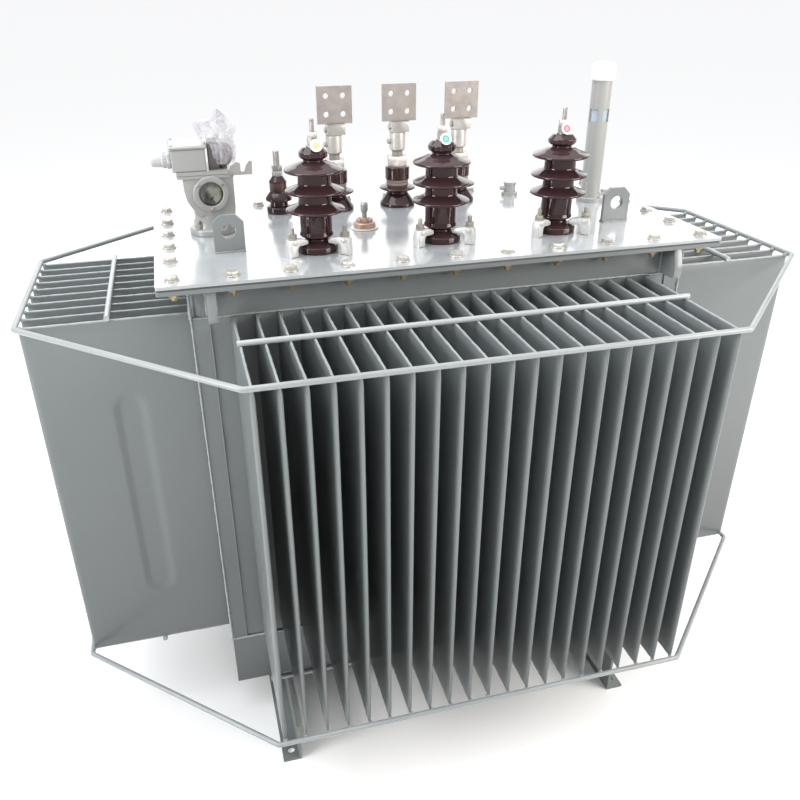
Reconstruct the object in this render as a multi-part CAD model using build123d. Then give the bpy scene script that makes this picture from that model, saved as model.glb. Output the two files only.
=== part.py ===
from build123d import *
import math
import os

os.makedirs("parts", exist_ok=True)

# Oil-filled distribution transformer with a corrugated-fin tank, in millimetres.
# X runs along the long side, Y from the high-voltage side to the low-voltage side,
# and Z is up from the ground, with the origin under the middle of the tank.

# Tank: the plain band carries the rim, and the fin walls hang between it and the trough.
BAND_HALF_X = 530.0
BAND_HALF_Y = 252.0
BAND_T = 6.0
BAND_CORNER = 20.0
BAND_HEIGHT = 66.0
RIM_OUT_X = 56.0
RIM_OUT_Y = 50.0
COVER_TOP = 1160.0
COVER_T = 6.0
COVER_CORNER = 4.0
GASKET_T = 4.0
GASKET_BACK = 2.0
RIM_T = 8.0
POST_LEG = 35.0
SHEET = 2.0
SHEET_BACK = 2.0
WALL_BOTTOM = 252.0
TROUGH_BOTTOM = 110.0
TROUGH_T = 8.0
TROUGH_BACK = 1.0
CLEAR = 0.2

# Fins: sheet folded double, evenly spaced, with a pressed rib on the outermost ones.
PITCH = 45.0
FIN_W = 8.0
FIN_MARGIN_LONG = 40.0
FIN_MARGIN_SHORT = 12.0
FIN_REACH_LONG = 330.0
FIN_REACH_SHORT = 321.0
FIN_TOP_GAP = 5.0
FIN_BOTTOM_GAP = 6.0
PINCH = 20.0
RIB_W = 60.0
RIB_DEPTH = 2.2
RIB_TAPER = 40.0
RIB_FROM_WALL = 144.0
RIB_FROM_BOTTOM = 147.0
RIB_FROM_TOP = 161.0

# Round bars that tie the fins together.
BAR_R = 5.5
BAR_FROM_WALL_LONG = 150.0
BAR_FROM_WALL_SHORT = 159.0
BAR_PAST_FIN = 6.0
RING_PAST_FIN = 14.0

# Feet: two angle-section rails along Y, with a bolt hole at both ends.
RAIL_IN = 125.0
RAIL_T = 6.0
RAIL_FLANGE = 43.0
RAIL_PAST_BAND = 175.0
FOOT_HOLE_R = 9.0
FOOT_HOLE_FROM_WEB = 22.0
FOOT_HOLE_FROM_END = 27.0

# Tank lifting hooks, on the band, and lifting lugs, on the cover.
HOOK_IN = 41.0
HOOK_T = 12.0
HOOK_OUT = 28.0
HOOK_R = 12.0
HOOK_UP = 2.0
LUG_IN = 152.0
LUG_W = 62.0
LUG_H = 76.0
LUG_T = 10.0
LUG_CHAMFER = 15.0
LUG_HOLE_R = 15.0
LUG_HOLE_Z = 42.5

# Places of the fittings on the cover, from its edges and from each other.
HV_FROM_EDGE = 154.0
HV_PITCH = 264.5
HV_SHIFT = 4.5
LV_FROM_EDGE = 120.0
LV_PITCH = 155.0
LV_SHIFT = 2.0
NEUTRAL_FROM_LV = 138.0
NEUTRAL_BACK = 4.0
LUG_BEHIND_HV = 36.0
POCKET_FROM_LV = 151.0
POCKET_BACK = 17.0
VALVE_FROM_HV = 132.0
VALVE_BEHIND_HV = 136.0
GAUGE_IN = 110.0
GAUGE_Y = 85.0
RELAY_IN = 128.0
RELAY_Y = 55.0

COVER_HALF_X = BAND_HALF_X + RIM_OUT_X
COVER_HALF_Y = BAND_HALF_Y + RIM_OUT_Y
BAND_TOP = COVER_TOP - COVER_T - GASKET_T - RIM_T
BAND_BOTTOM = BAND_TOP - BAND_HEIGHT
FIN_TOP = BAND_BOTTOM - FIN_TOP_GAP
FIN_BOTTOM = WALL_BOTTOM + FIN_BOTTOM_GAP
WALL_X = BAND_HALF_X - SHEET_BACK
WALL_Y = BAND_HALF_Y - SHEET_BACK
TIP_X = WALL_X + FIN_REACH_SHORT
TIP_Y = WALL_Y + FIN_REACH_LONG
LONG_HALF = BAND_HALF_X - POST_LEG
SHORT_HALF = BAND_HALF_Y - POST_LEG
FINS_LONG = 1 + int((LONG_HALF - FIN_MARGIN_LONG) * 2 // PITCH)
FINS_SHORT = 1 + int((SHORT_HALF - FIN_MARGIN_SHORT) * 2 // PITCH)
LAST_FIN_LONG = (FINS_LONG - 1) / 2 * PITCH
LAST_FIN_SHORT = (FINS_SHORT - 1) / 2 * PITCH

HV_X = [HV_SHIFT + i * HV_PITCH for i in (-1, 0, 1)]
HV_Y = HV_FROM_EDGE - COVER_HALF_Y
LV_X = [LV_SHIFT + i * LV_PITCH for i in (-1, 0, 1)]
LV_Y = COVER_HALF_Y - LV_FROM_EDGE
NEUTRAL_AT = (LV_X[0] - NEUTRAL_FROM_LV, LV_Y + NEUTRAL_BACK)
POCKET_AT = (LV_X[2] + POCKET_FROM_LV, LV_Y + POCKET_BACK)
VALVE_AT = (HV_X[0] + VALVE_FROM_HV, HV_Y + VALVE_BEHIND_HV)
GAUGE_AT = (COVER_HALF_X - GAUGE_IN, GAUGE_Y)
RELAY_AT = (RELAY_IN - COVER_HALF_X, RELAY_Y)


def save(node, shape):
    export_step(shape, f"parts/{node}.step")


def save_set(node, shapes):
    """Save like pieces that don't touch as one node."""
    save(node, Compound(children=[shape.solid() for shape in shapes]))


def slab(half_x, half_y, z0, z1, corner=0.0):
    """Upright slab centred on the origin, with rounded corners where asked."""
    outline = Rectangle(2 * half_x, 2 * half_y)
    if corner:
        outline = RectangleRounded(2 * half_x, 2 * half_y, corner)
    return Pos(0, 0, z0) * extrude(outline, z1 - z0)


def turned(*points):
    """Solid of revolution about Z from (radius, height) points."""
    return revolve(Plane.XZ * make_face(Polyline(*points, close=True)), Axis.Z)


def plate(points, middle, thickness):
    """Upright plate across Y from (x, z) points."""
    face = make_face(Polyline(*points, close=True))
    return Pos(0, middle, 0) * extrude(Plane.XZ * face, thickness / 2, both=True)


def post(radius, z0, z1):
    return Pos(0, 0, z0) * Cylinder(radius, z1 - z0, align=(Align.CENTER, Align.CENTER, Align.MIN))


def hexagon(radius, z0, z1):
    return Pos(0, 0, z0) * extrude(RegularPolygon(radius, 6), z1 - z0)


def block(x0, x1, y0, y1, z0, z1):
    middle = ((x0 + x1) / 2, (y0 + y1) / 2, (z0 + z1) / 2)
    return Pos(*middle) * Box(x1 - x0, y1 - y0, z1 - z0)


def on_cover(x, y, shape):
    return Pos(x, y, COVER_TOP) * shape


# Two angle-section rails along Y carry the tank.
rail_web = BAND_HALF_X - RAIL_IN
rail_half = BAND_HALF_Y + RAIL_PAST_BAND


def rail(side):
    outline = [
        (rail_web, 0),
        (rail_web + RAIL_FLANGE, 0),
        (rail_web + RAIL_FLANGE, RAIL_T),
        (rail_web + RAIL_T, RAIL_T),
        (rail_web + RAIL_T, TROUGH_BOTTOM),
        (rail_web, TROUGH_BOTTOM),
    ]
    bar = plate(outline, 0, 2 * rail_half)
    for y in (FOOT_HOLE_FROM_END - rail_half, rail_half - FOOT_HOLE_FROM_END):
        bar -= Pos(rail_web + FOOT_HOLE_FROM_WEB, y, 0) * post(FOOT_HOLE_R, -1, RAIL_T + 1)
    return bar if side > 0 else mirror(bar, Plane.YZ)


save("rail_left", rail(-1))
save("rail_right", rail(1))

# The bottom trough is a welded tray of thicker plate that the fin walls stand on.
trough_x = BAND_HALF_X - TROUGH_BACK
trough_y = BAND_HALF_Y - TROUGH_BACK
trough = slab(trough_x, trough_y, TROUGH_BOTTOM, WALL_BOTTOM)
trough -= slab(trough_x - TROUGH_T, trough_y - TROUGH_T, TROUGH_BOTTOM + TROUGH_T, WALL_BOTTOM + 1)
save("bottom_trough", trough)

# Four angle posts stand at the corners between the fin walls.
posts = slab(BAND_HALF_X, BAND_HALF_Y, WALL_BOTTOM, BAND_BOTTOM)
posts -= slab(BAND_HALF_X - BAND_T, BAND_HALF_Y - BAND_T, 0, COVER_TOP)
posts -= slab(LONG_HALF, COVER_HALF_Y, 0, COVER_TOP)
posts -= slab(COVER_HALF_X, SHORT_HALF, 0, COVER_TOP)
save("corner_posts", posts)


# A fin is the sheet folded double: a flat pocket open to the tank, with its nose turned over
# in three flats and its top and bottom edges pressed shut and welded.
def fin_plan(half, reach, start=0.0):
    """Plan of a fin running to -Y, whose nose is half of an octagon."""
    flat = half * math.tan(math.radians(22.5))
    points = [(half, start), (half, half - flat - reach), (flat, -reach)]
    points += [(-x, y) for x, y in reversed(points)]
    return make_face(Polyline(*points, close=True))


def fin(reach):
    half = FIN_W / 2
    side = [
        (SHEET, FIN_BOTTOM),
        (half, FIN_BOTTOM + PINCH),
        (half, FIN_TOP - PINCH),
        (SHEET, FIN_TOP),
    ]
    side += [(-x, z) for x, z in reversed(side)]
    body = plate(side, -reach / 2, reach)
    return body & Pos(0, 0, FIN_BOTTOM) * extrude(fin_plan(half, reach), FIN_TOP - FIN_BOTTOM)


def fin_hollow(reach):
    plan = fin_plan(FIN_W / 2 - SHEET, reach - SHEET, start=SHEET + 1)
    height = FIN_TOP - FIN_BOTTOM - 2 * PINCH
    return Pos(0, 0, FIN_BOTTOM + PINCH) * extrude(plan, height)


def rib(side, grow=0.0):
    """Pressed stiffening rib, sunk into a fin's broad face that looks to side (+1 or -1) X."""
    low = FIN_BOTTOM + RIB_FROM_BOTTOM
    high = FIN_TOP - RIB_FROM_TOP
    outline = SlotOverall(high - low + 2 * grow, RIB_W + 2 * grow, rotation=90)
    sunk = extrude(outline, RIB_DEPTH + grow, taper=RIB_TAPER)
    turn = Rot(90, 0, 0) * sunk
    turn = Rot(0, 0, -90 * side) * turn
    return Pos(side * FIN_W / 2, -RIB_FROM_WALL, (low + high) / 2) * turn


def fin_wall(count, half_width, reach):
    """One side of the tank: outer face on the XZ plane, fins running to -Y."""
    sheet = block(-half_width, half_width, 0, SHEET, WALL_BOTTOM, BAND_BOTTOM)
    places = [(i - (count - 1) / 2) * PITCH for i in range(count)]
    one_fin = fin(reach)
    hollow = fin_hollow(reach)
    wall = sheet + [Pos(x, 0, 0) * one_fin for x in places]
    cuts = [Pos(x, 0, 0) * hollow for x in places[1:-1]]
    for x, side in ((places[0], -1), (places[-1], 1)):
        cuts.append(Pos(x, 0, 0) * (hollow - rib(side, grow=SHEET)))
        cuts.append(Pos(x, 0, 0) * rib(side))
    return wall - cuts


long_wall = fin_wall(FINS_LONG, LONG_HALF, FIN_REACH_LONG)
short_wall = fin_wall(FINS_SHORT, SHORT_HALF, FIN_REACH_SHORT)
save("fin_wall_front", Pos(0, -WALL_Y, 0) * long_wall)
save("fin_wall_back", Rot(0, 0, 180) * Pos(0, -WALL_Y, 0) * long_wall)
save("fin_wall_left", Rot(0, 0, -90) * Pos(0, -WALL_X, 0) * short_wall)
save("fin_wall_right", Rot(0, 0, 90) * Pos(0, -WALL_X, 0) * short_wall)

# The plain band above the fins carries the rim flange that the cover is bolted to.
inner_x = BAND_HALF_X - BAND_T
inner_y = BAND_HALF_Y - BAND_T
mouth = slab(inner_x, inner_y, 0, COVER_TOP, BAND_CORNER - BAND_T)
rim_top = BAND_TOP + RIM_T
save("top_band", slab(BAND_HALF_X, BAND_HALF_Y, BAND_BOTTOM, BAND_TOP, BAND_CORNER) - mouth)
save("rim_flange", slab(COVER_HALF_X, COVER_HALF_Y, BAND_TOP, rim_top, COVER_CORNER) - mouth)
gasket = slab(
    COVER_HALF_X - GASKET_BACK, COVER_HALF_Y - GASKET_BACK, rim_top, rim_top + GASKET_T, COVER_CORNER
)
save("cover_gasket", gasket - mouth)
save("cover_plate", slab(COVER_HALF_X, COVER_HALF_Y, COVER_TOP - COVER_T, COVER_TOP, COVER_CORNER))

# Four flat plates welded upright on the band near its corners lift the whole tank.
hook_low = BAND_BOTTOM + HOOK_UP
hook_face = Pos(-BAND_HALF_Y - HOOK_OUT / 2, (hook_low + BAND_TOP) / 2) * Rectangle(
    HOOK_OUT, BAND_TOP - hook_low
)
hook_face = fillet(hook_face.vertices().sort_by(Axis.Y)[:2].sort_by(Axis.X)[0], HOOK_R)
hook = extrude(Plane.YZ * hook_face, HOOK_T / 2, both=True)
hooks = [Pos(side * (BAND_HALF_X - HOOK_IN), 0, 0) * hook for side in (-1, 1)]
save_set("tank_hooks", hooks + [mirror(h, Plane.XZ) for h in hooks])

# Two lifting lugs stand on the cover, with their top corners cut off and a round eye.
lug_face = Pos(0, LUG_H / 2) * Rectangle(LUG_W, LUG_H)
lug_face = chamfer(lug_face.vertices().group_by(Axis.Y)[-1], LUG_CHAMFER)
lug_face -= Pos(0, LUG_HOLE_Z) * Circle(LUG_HOLE_R)
lug = extrude(Plane.XZ * lug_face, LUG_T / 2, both=True)
save("cover_lug_left", on_cover(LUG_IN - COVER_HALF_X, HV_Y + LUG_BEHIND_HV, lug))
save("cover_lug_right", on_cover(COVER_HALF_X - LUG_IN, HV_Y + LUG_BEHIND_HV, lug))

# High-voltage bushings: a porcelain body with a foot, a bead and three umbrella sheds.
HV_FOOT_R = 44.0
HV_FOOT_H = 13.0
HV_NECK_R = 24.0
HV_NECK_Z = 23.0
HV_BEAD_R = 35.0
HV_BEAD_Z = 33.5
HV_CORE_R = 32.5
HV_SHED_R = 59.5
HV_SHEDS_Z = (84.0, 121.0, 161.0)
SHED_EDGE = 4.5
SHED_RISE = 12.0
HV_TOP_R = 22.0
HV_TOP_Z = 182.0
HV_CAP_R = 29.0
HV_CAP_TOP_R = 20.0
HV_CAP_H = 22.0
HV_STUD_R = 5.0
HV_STUD_TOP = 256.0
HV_NUT_R = 10.8
HV_NUT_H = 12.5
HV_WASHER_R = 13.0
HV_WASHER_T = 3.0

hv_profile = [
    (0, 0),
    (HV_FOOT_R, 0),
    (HV_FOOT_R, HV_FOOT_H),
    (HV_NECK_R, HV_NECK_Z),
    (HV_NECK_R, HV_BEAD_Z - 4),
    (HV_BEAD_R, HV_BEAD_Z),
    (HV_CORE_R, HV_BEAD_Z + 4),
]
for rim in HV_SHEDS_Z:
    hv_profile += [
        (HV_CORE_R, rim - SHED_EDGE / 2),
        (HV_SHED_R, rim - SHED_EDGE / 2),
        (HV_SHED_R, rim + SHED_EDGE / 2),
        (HV_CORE_R, rim + SHED_RISE),
    ]
hv_profile += [(HV_TOP_R, HV_TOP_Z), (0, HV_TOP_Z)]
hv_body = turned(*hv_profile)
save_set("hv_bushings", [on_cover(x, HV_Y, hv_body) for x in HV_X])

hv_cap_top = HV_TOP_Z + HV_CAP_H
hv_cap = turned(
    (0, HV_TOP_Z),
    (HV_TOP_R, HV_TOP_Z),
    (HV_CAP_R, HV_TOP_Z + 6),
    (HV_CAP_R, HV_TOP_Z + 12),
    (HV_CAP_TOP_R, hv_cap_top),
    (0, hv_cap_top),
)
save_set("hv_caps", [on_cover(x, HV_Y, hv_cap) for x in HV_X])

hv_nut_z = hv_cap_top + HV_WASHER_T
hv_stud = post(HV_STUD_R, hv_cap_top, HV_STUD_TOP) + post(HV_WASHER_R, hv_cap_top, hv_nut_z)
hv_stud += hexagon(HV_NUT_R, hv_nut_z, hv_nut_z + 2 * HV_NUT_H)
save_set("hv_terminals", [on_cover(x, HV_Y, hv_stud) for x in HV_X])

# A round phase tag stands on the shoulder of each cap and leans against its nut.
TAG_R = 13.5
TAG_T = 1.0
TAG_LEAN = 65.0
TAG_OUT = 15.8
TAG_UP = 11.9
tag = Pos(0, -TAG_OUT, hv_cap_top + TAG_UP) * Rot(TAG_LEAN, 0, 0) * Cylinder(TAG_R, TAG_T)
for name, x in zip(("yellow", "green", "red"), HV_X):
    save(f"phase_tag_{name}", on_cover(x, HV_Y, tag))

# Three cast clamps hold each foot down: a leg on the cover and an arm over the foot's shoulder.
CLAMP_TURNS = (213.0, 319.0, 86.0)
CLAMP_W = 18.0
CLAMP_H = 36.0
CLAMP_OUT = 78.0
CLAMP_TOE_R = 31.0
CLAMP_SEAT = 0.1
foot_slope = (HV_NECK_Z - HV_FOOT_H) / (HV_FOOT_R - HV_NECK_R)
clamp_toe_z = HV_FOOT_H + foot_slope * (HV_FOOT_R - CLAMP_TOE_R) + CLAMP_SEAT
clamp_face = [
    (CLAMP_TOE_R, clamp_toe_z),
    (HV_FOOT_R - 2, clamp_toe_z),
    (HV_FOOT_R + 8, 10),
    (HV_FOOT_R + 11, 0),
    (CLAMP_OUT, 0),
    (CLAMP_OUT, CLAMP_H - 14),
    (CLAMP_OUT - 6, CLAMP_H),
    (CLAMP_OUT - 19, CLAMP_H),
    (HV_FOOT_R, CLAMP_H - 3),
    (CLAMP_TOE_R, clamp_toe_z + 5),
]
clamp = plate(clamp_face, 0, CLAMP_W)
clamps = [on_cover(x, HV_Y, Rot(0, 0, turn) * clamp) for x in HV_X for turn in CLAMP_TURNS]
save_set("hv_clamps", clamps)

# Low-voltage bushings: a porcelain bell with one shed, grooved seal, collar, nut and flag.
LV_BELL_R = 43.0
LV_NECK_R = 25.0
LV_SHED_R = 44.5
LV_BODY_H = 49.0
LV_SEAL_R = 27.0
LV_SEAL_H = 14.0
LV_SEAL_GROOVE = 2.0
LV_COLLAR_R = 29.5
LV_COLLAR_H = 30.0
LV_NUT_R = 26.0
LV_NUT_H = 25.0
LV_PIN_R = 12.5
LV_STEM_R = 18.5
LV_STEM_Z = (133.0, 173.0)
LV_TAB = (-16.0, 26.0, -10.0, 8.0)
LV_FLAG_Z = 197.0
FLAG = 82.0
FLAG_T = 8.0
FLAG_SHIFT = 4.0
FLAG_HOLE_R = 6.5
FLAG_HOLE_SPACING = 40.0

lv_body = turned(
    (0, 0),
    (LV_BELL_R - 1.5, 0),
    (LV_BELL_R, 4),
    (LV_NECK_R, 30),
    (LV_NECK_R, 35),
    (LV_SHED_R, 41),
    (LV_SHED_R, 44),
    (LV_SEAL_R, LV_BODY_H),
    (0, LV_BODY_H),
)
save_set("lv_bushings", [on_cover(x, LV_Y, lv_body) for x in LV_X])

seal_top = LV_BODY_H + LV_SEAL_H
seal_middle = LV_BODY_H + LV_SEAL_H / 2
lv_seal = turned(
    (0, LV_BODY_H),
    (LV_SEAL_R, LV_BODY_H),
    (LV_SEAL_R, seal_middle - 1),
    (LV_SEAL_R - LV_SEAL_GROOVE, seal_middle),
    (LV_SEAL_R, seal_middle + 1),
    (LV_SEAL_R, seal_top),
    (0, seal_top),
)
save_set("lv_seals", [on_cover(x, LV_Y, lv_seal) for x in LV_X])

collar_top = seal_top + LV_COLLAR_H
nut_top = collar_top + LV_NUT_H
save_set("lv_collars", [on_cover(x, LV_Y, post(LV_COLLAR_R, seal_top, collar_top)) for x in LV_X])
save_set("lv_nuts", [on_cover(x, LV_Y, hexagon(LV_NUT_R, collar_top, nut_top)) for x in LV_X])

stem_low, stem_high = LV_STEM_Z
lv_terminal = turned(
    (0, nut_top),
    (LV_PIN_R, nut_top),
    (LV_PIN_R, stem_low - 5),
    (LV_STEM_R, stem_low),
    (LV_STEM_R, stem_high),
    (0, stem_high),
)
lv_terminal += block(*LV_TAB, stem_high, LV_FLAG_Z)
flag_face = Pos(FLAG_SHIFT, LV_FLAG_Z + FLAG / 2) * (
    Rectangle(FLAG, FLAG) - GridLocations(FLAG_HOLE_SPACING, FLAG_HOLE_SPACING, 2, 2) * Circle(FLAG_HOLE_R)
)
lv_terminal += extrude(Plane.XZ * flag_face, FLAG_T / 2, both=True)
for i, x in enumerate(LV_X):
    save(f"lv_terminal_{i + 1}", on_cover(x, LV_Y, lv_terminal))

# Neutral bushing: a small porcelain body with one shed, under a metal cone, a nut and a stud.
NEUTRAL_R = 30.0
NEUTRAL_FOOT_H = 16.0
NEUTRAL_CORE_R = 20.5
NEUTRAL_SHED_R = 31.6
NEUTRAL_SHED_Z = 32.0
NEUTRAL_SHED_EDGE = 6.0
NEUTRAL_SHED_RISE = 17.0
NEUTRAL_H = 70.0
NEUTRAL_CONE_H = 16.0
NEUTRAL_NUT_R = 13.0
NEUTRAL_NUT_H = 23.0
NEUTRAL_STUD_R = 7.5
NEUTRAL_STUD_TOP = 143.0
neutral = turned(
    (0, 0),
    (NEUTRAL_R, 0),
    (NEUTRAL_R, NEUTRAL_FOOT_H),
    (NEUTRAL_CORE_R, NEUTRAL_FOOT_H),
    (NEUTRAL_CORE_R, NEUTRAL_SHED_Z - NEUTRAL_SHED_EDGE / 2),
    (NEUTRAL_SHED_R, NEUTRAL_SHED_Z - NEUTRAL_SHED_EDGE / 2),
    (NEUTRAL_SHED_R, NEUTRAL_SHED_Z + NEUTRAL_SHED_EDGE / 2),
    (NEUTRAL_CORE_R, NEUTRAL_SHED_Z + NEUTRAL_SHED_RISE),
    (NEUTRAL_CORE_R, NEUTRAL_H),
    (0, NEUTRAL_H),
)
save("neutral_bushing", on_cover(*NEUTRAL_AT, neutral))
neutral_nut_z = NEUTRAL_H + NEUTRAL_CONE_H
neutral_stud = turned(
    (0, NEUTRAL_H), (NEUTRAL_CORE_R, NEUTRAL_H), (NEUTRAL_NUT_R - 1, neutral_nut_z), (0, neutral_nut_z)
)
neutral_stud += post(NEUTRAL_STUD_R, neutral_nut_z, NEUTRAL_STUD_TOP)
neutral_stud += hexagon(NEUTRAL_NUT_R, neutral_nut_z, neutral_nut_z + NEUTRAL_NUT_H)
save("neutral_terminal", on_cover(*NEUTRAL_AT, neutral_stud))

# Pressure relief valve: a stepped round body on a thin flange, with a lift knob on its stem.
VALVE_FLANGE_R = 31.0
VALVE_FLANGE_T = 3.0
VALVE_BODY_R = 24.6
VALVE_BODY_TOP = 15.0
VALVE_RING_R = 18.0
VALVE_RING_TOP = 22.0
VALVE_STEM_R = 6.0
VALVE_KNOB_R = 8.0
VALVE_KNOB_Z = 37.0
VALVE_TOP = 58.0
valve = turned(
    (0, 0),
    (VALVE_FLANGE_R, 0),
    (VALVE_FLANGE_R, VALVE_FLANGE_T),
    (VALVE_BODY_R, VALVE_FLANGE_T),
    (VALVE_BODY_R, VALVE_BODY_TOP),
    (VALVE_RING_R, VALVE_BODY_TOP),
    (VALVE_RING_R, VALVE_RING_TOP),
    (VALVE_STEM_R, VALVE_RING_TOP),
    (VALVE_STEM_R, VALVE_KNOB_Z),
    (VALVE_KNOB_R, VALVE_KNOB_Z),
    (VALVE_KNOB_R, VALVE_TOP),
    (0, VALVE_TOP),
)
save("pressure_relief_valve", on_cover(*VALVE_AT, valve))

# Thermometer pocket: a flanged socket with a short side plug.
POCKET_R = 20.5
POCKET_NECK_R = 14.0
POCKET_CAP_R = 16.0
POCKET_H = 33.0
POCKET_PLUG_R = 5.0
POCKET_PLUG_Z = 18.0
POCKET_PLUG_OUT = 12.0
pocket = turned(
    (0, 0),
    (POCKET_R, 0),
    (POCKET_R, 8),
    (POCKET_NECK_R, 8),
    (POCKET_NECK_R, 26),
    (POCKET_CAP_R, 26),
    (POCKET_CAP_R, POCKET_H),
    (0, POCKET_H),
)
pocket += Pos(0, 0, POCKET_PLUG_Z) * Rot(0, -90, 0) * post(POCKET_PLUG_R, 0, POCKET_NECK_R + POCKET_PLUG_OUT)
save("thermometer_pocket", on_cover(*POCKET_AT, pocket))

# Oil gauge: a tube on a flanged base, cut by two windows with curved panes behind them, a
# float on a rod inside, and a milky cap on top.
GAUGE_R = 23.5
GAUGE_WALL = 3.0
GAUGE_BASE_R = 33.0
GAUGE_BASE_H = 10.0
GAUGE_SOCKET_R = 27.0
GAUGE_SOCKET_H = 22.0
GAUGE_TOP = 281.0
WINDOW_Z = (189.0, 218.0)
WINDOW_TURNS = {"front": 206.0, "side": 296.0}
WINDOW_HALF_ANGLE = 29.0
PANE_T = 1.5
PANE_LAP = 4.0
FLOAT_R = 9.0
FLOAT_ROD_R = 2.5
GAUGE_CAP_R = 29.0
GAUGE_CAP_H = 40.0
gauge_base = turned(
    (0, 0),
    (GAUGE_BASE_R, 0),
    (GAUGE_BASE_R, GAUGE_BASE_H),
    (GAUGE_SOCKET_R, GAUGE_BASE_H + 2),
    (GAUGE_SOCKET_R, GAUGE_SOCKET_H),
    (0, GAUGE_SOCKET_H),
)
save("oil_gauge_base", on_cover(*GAUGE_AT, gauge_base))


def wedge(turn, half_angle, reach, z0, z1):
    """Upright sector about Z, looking along turn."""
    side = reach * math.tan(math.radians(half_angle))
    face = make_face(Polyline((0, 0), (reach, -side), (reach, side), close=True))
    return Rot(0, 0, turn) * Pos(0, 0, z0) * extrude(face, z1 - z0)


tube_inner = GAUGE_R - GAUGE_WALL
tube = post(GAUGE_R, GAUGE_SOCKET_H, GAUGE_TOP) - post(tube_inner, GAUGE_SOCKET_H - 1, GAUGE_TOP + 1)
pane_ring = post(tube_inner - CLEAR, WINDOW_Z[0] - PANE_LAP, WINDOW_Z[1] + PANE_LAP)
pane_ring -= post(tube_inner - CLEAR - PANE_T, 0, GAUGE_TOP)
for name, turn in WINDOW_TURNS.items():
    tube -= wedge(turn, WINDOW_HALF_ANGLE, 2 * GAUGE_R, *WINDOW_Z)
    pane = pane_ring & wedge(turn, WINDOW_HALF_ANGLE + PANE_LAP, 2 * GAUGE_R, 0, GAUGE_TOP)
    save(f"oil_gauge_window_{name}", on_cover(*GAUGE_AT, pane))
save("oil_gauge_tube", on_cover(*GAUGE_AT, tube))
gauge_float = post(FLOAT_ROD_R, GAUGE_SOCKET_H, GAUGE_TOP) + post(FLOAT_R, WINDOW_Z[0] - 2, WINDOW_Z[1] - 3)
save("oil_gauge_float", on_cover(*GAUGE_AT, gauge_float))
gauge_cap = turned(
    (0, GAUGE_TOP),
    (GAUGE_CAP_R, GAUGE_TOP),
    (GAUGE_CAP_R, GAUGE_TOP + GAUGE_CAP_H - 10),
    (GAUGE_CAP_R - 8, GAUGE_TOP + GAUGE_CAP_H),
    (0, GAUGE_TOP + GAUGE_CAP_H),
)
save("oil_gauge_cap", on_cover(*GAUGE_AT, gauge_cap))

# Protection relay: a cast body on a round flange, with a round sight glass in front.
RELAY_FLANGE_R = 49.0
RELAY_FLANGE_T = 14.0
RELAY_NECK_R = 38.0
RELAY_LEFT = -52.5
RELAY_RIGHT = 52.5
RELAY_FRONT = -35.0
RELAY_BACK = 37.0
RELAY_TOP = 130.0
DISC_X = 3.0
DISC_Z = 90.0
DISC_R = 37.5
DISC_T = 7.0
GLASS_R = 25.5
GLASS_DEPTH = 9.0
GLASS_T = 3.0
save("relay_flange", on_cover(*RELAY_AT, post(RELAY_FLANGE_R, 0, RELAY_FLANGE_T)))
body_outline = [
    (RELAY_LEFT, RELAY_TOP),
    (RELAY_LEFT, DISC_Z),
    (-RELAY_NECK_R, 56),
    (-RELAY_NECK_R + 8, 40),
    (RELAY_NECK_R - 4, 40),
    (RELAY_RIGHT - 3, 22),
    (RELAY_RIGHT, 60),
    (RELAY_RIGHT, RELAY_TOP),
]
relay_body = plate(body_outline, (RELAY_FRONT + RELAY_BACK) / 2, RELAY_BACK - RELAY_FRONT)
relay_body += post(RELAY_NECK_R, RELAY_FLANGE_T, 60)
look_front = Pos(DISC_X, RELAY_FRONT, DISC_Z) * Rot(90, 0, 0)
relay_body += look_front * post(DISC_R, -1, DISC_T)
relay_body -= look_front * post(GLASS_R, DISC_T - GLASS_DEPTH, DISC_T + 1)
save("relay_body", on_cover(*RELAY_AT, relay_body))
sight_glass = look_front * post(GLASS_R - CLEAR, DISC_T - GLASS_DEPTH, DISC_T - GLASS_DEPTH + GLASS_T)
save("relay_sight_glass", on_cover(*RELAY_AT, sight_glass))

# On the relay: a top plate with a clip, the terminal box with its lid and gland, and a case
# with a round dial, wrapped in clear film.
PLATE_T = 7.0
PLATE_X = (-64.0, 54.0)
PLATE_Y = (-38.0, 70.0)
BOX_X = (-71.0, 0.0)
BOX_Y = (-34.0, 62.0)
BOX_TOP = 182.0
LID_PAST = 4.0
LID_T = 8.0
GLAND_Z = 158.0
GLAND_R = 13.0
GLAND_NUT_R = 18.0
GLAND_NUT_T = 9.0
GLAND_OUT = 42.0
plate_top = RELAY_TOP + PLATE_T
save("relay_top_plate", on_cover(*RELAY_AT, block(*PLATE_X, *PLATE_Y, RELAY_TOP, plate_top)))
save("relay_terminal_box", on_cover(*RELAY_AT, block(*BOX_X, *BOX_Y, plate_top, BOX_TOP)))
relay_lid = block(
    BOX_X[0] - LID_PAST, BOX_X[1] + LID_PAST, BOX_Y[0] - LID_PAST, BOX_Y[1] + LID_PAST, BOX_TOP, BOX_TOP + LID_T
)
relay_lid = chamfer(relay_lid.faces().sort_by(Axis.Z)[-1].edges(), LID_T / 2)
save("relay_box_lid", on_cover(*RELAY_AT, relay_lid))
gland = hexagon(GLAND_NUT_R, 0, GLAND_NUT_T) + turned(
    (0, GLAND_NUT_T), (GLAND_R + 2, GLAND_NUT_T), (GLAND_R, GLAND_OUT - 6), (GLAND_R - 3, GLAND_OUT), (0, GLAND_OUT)
)
save("relay_cable_gland", on_cover(*RELAY_AT, Pos(BOX_X[0], 0, GLAND_Z) * Rot(0, -90, 0) * gland))

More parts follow.
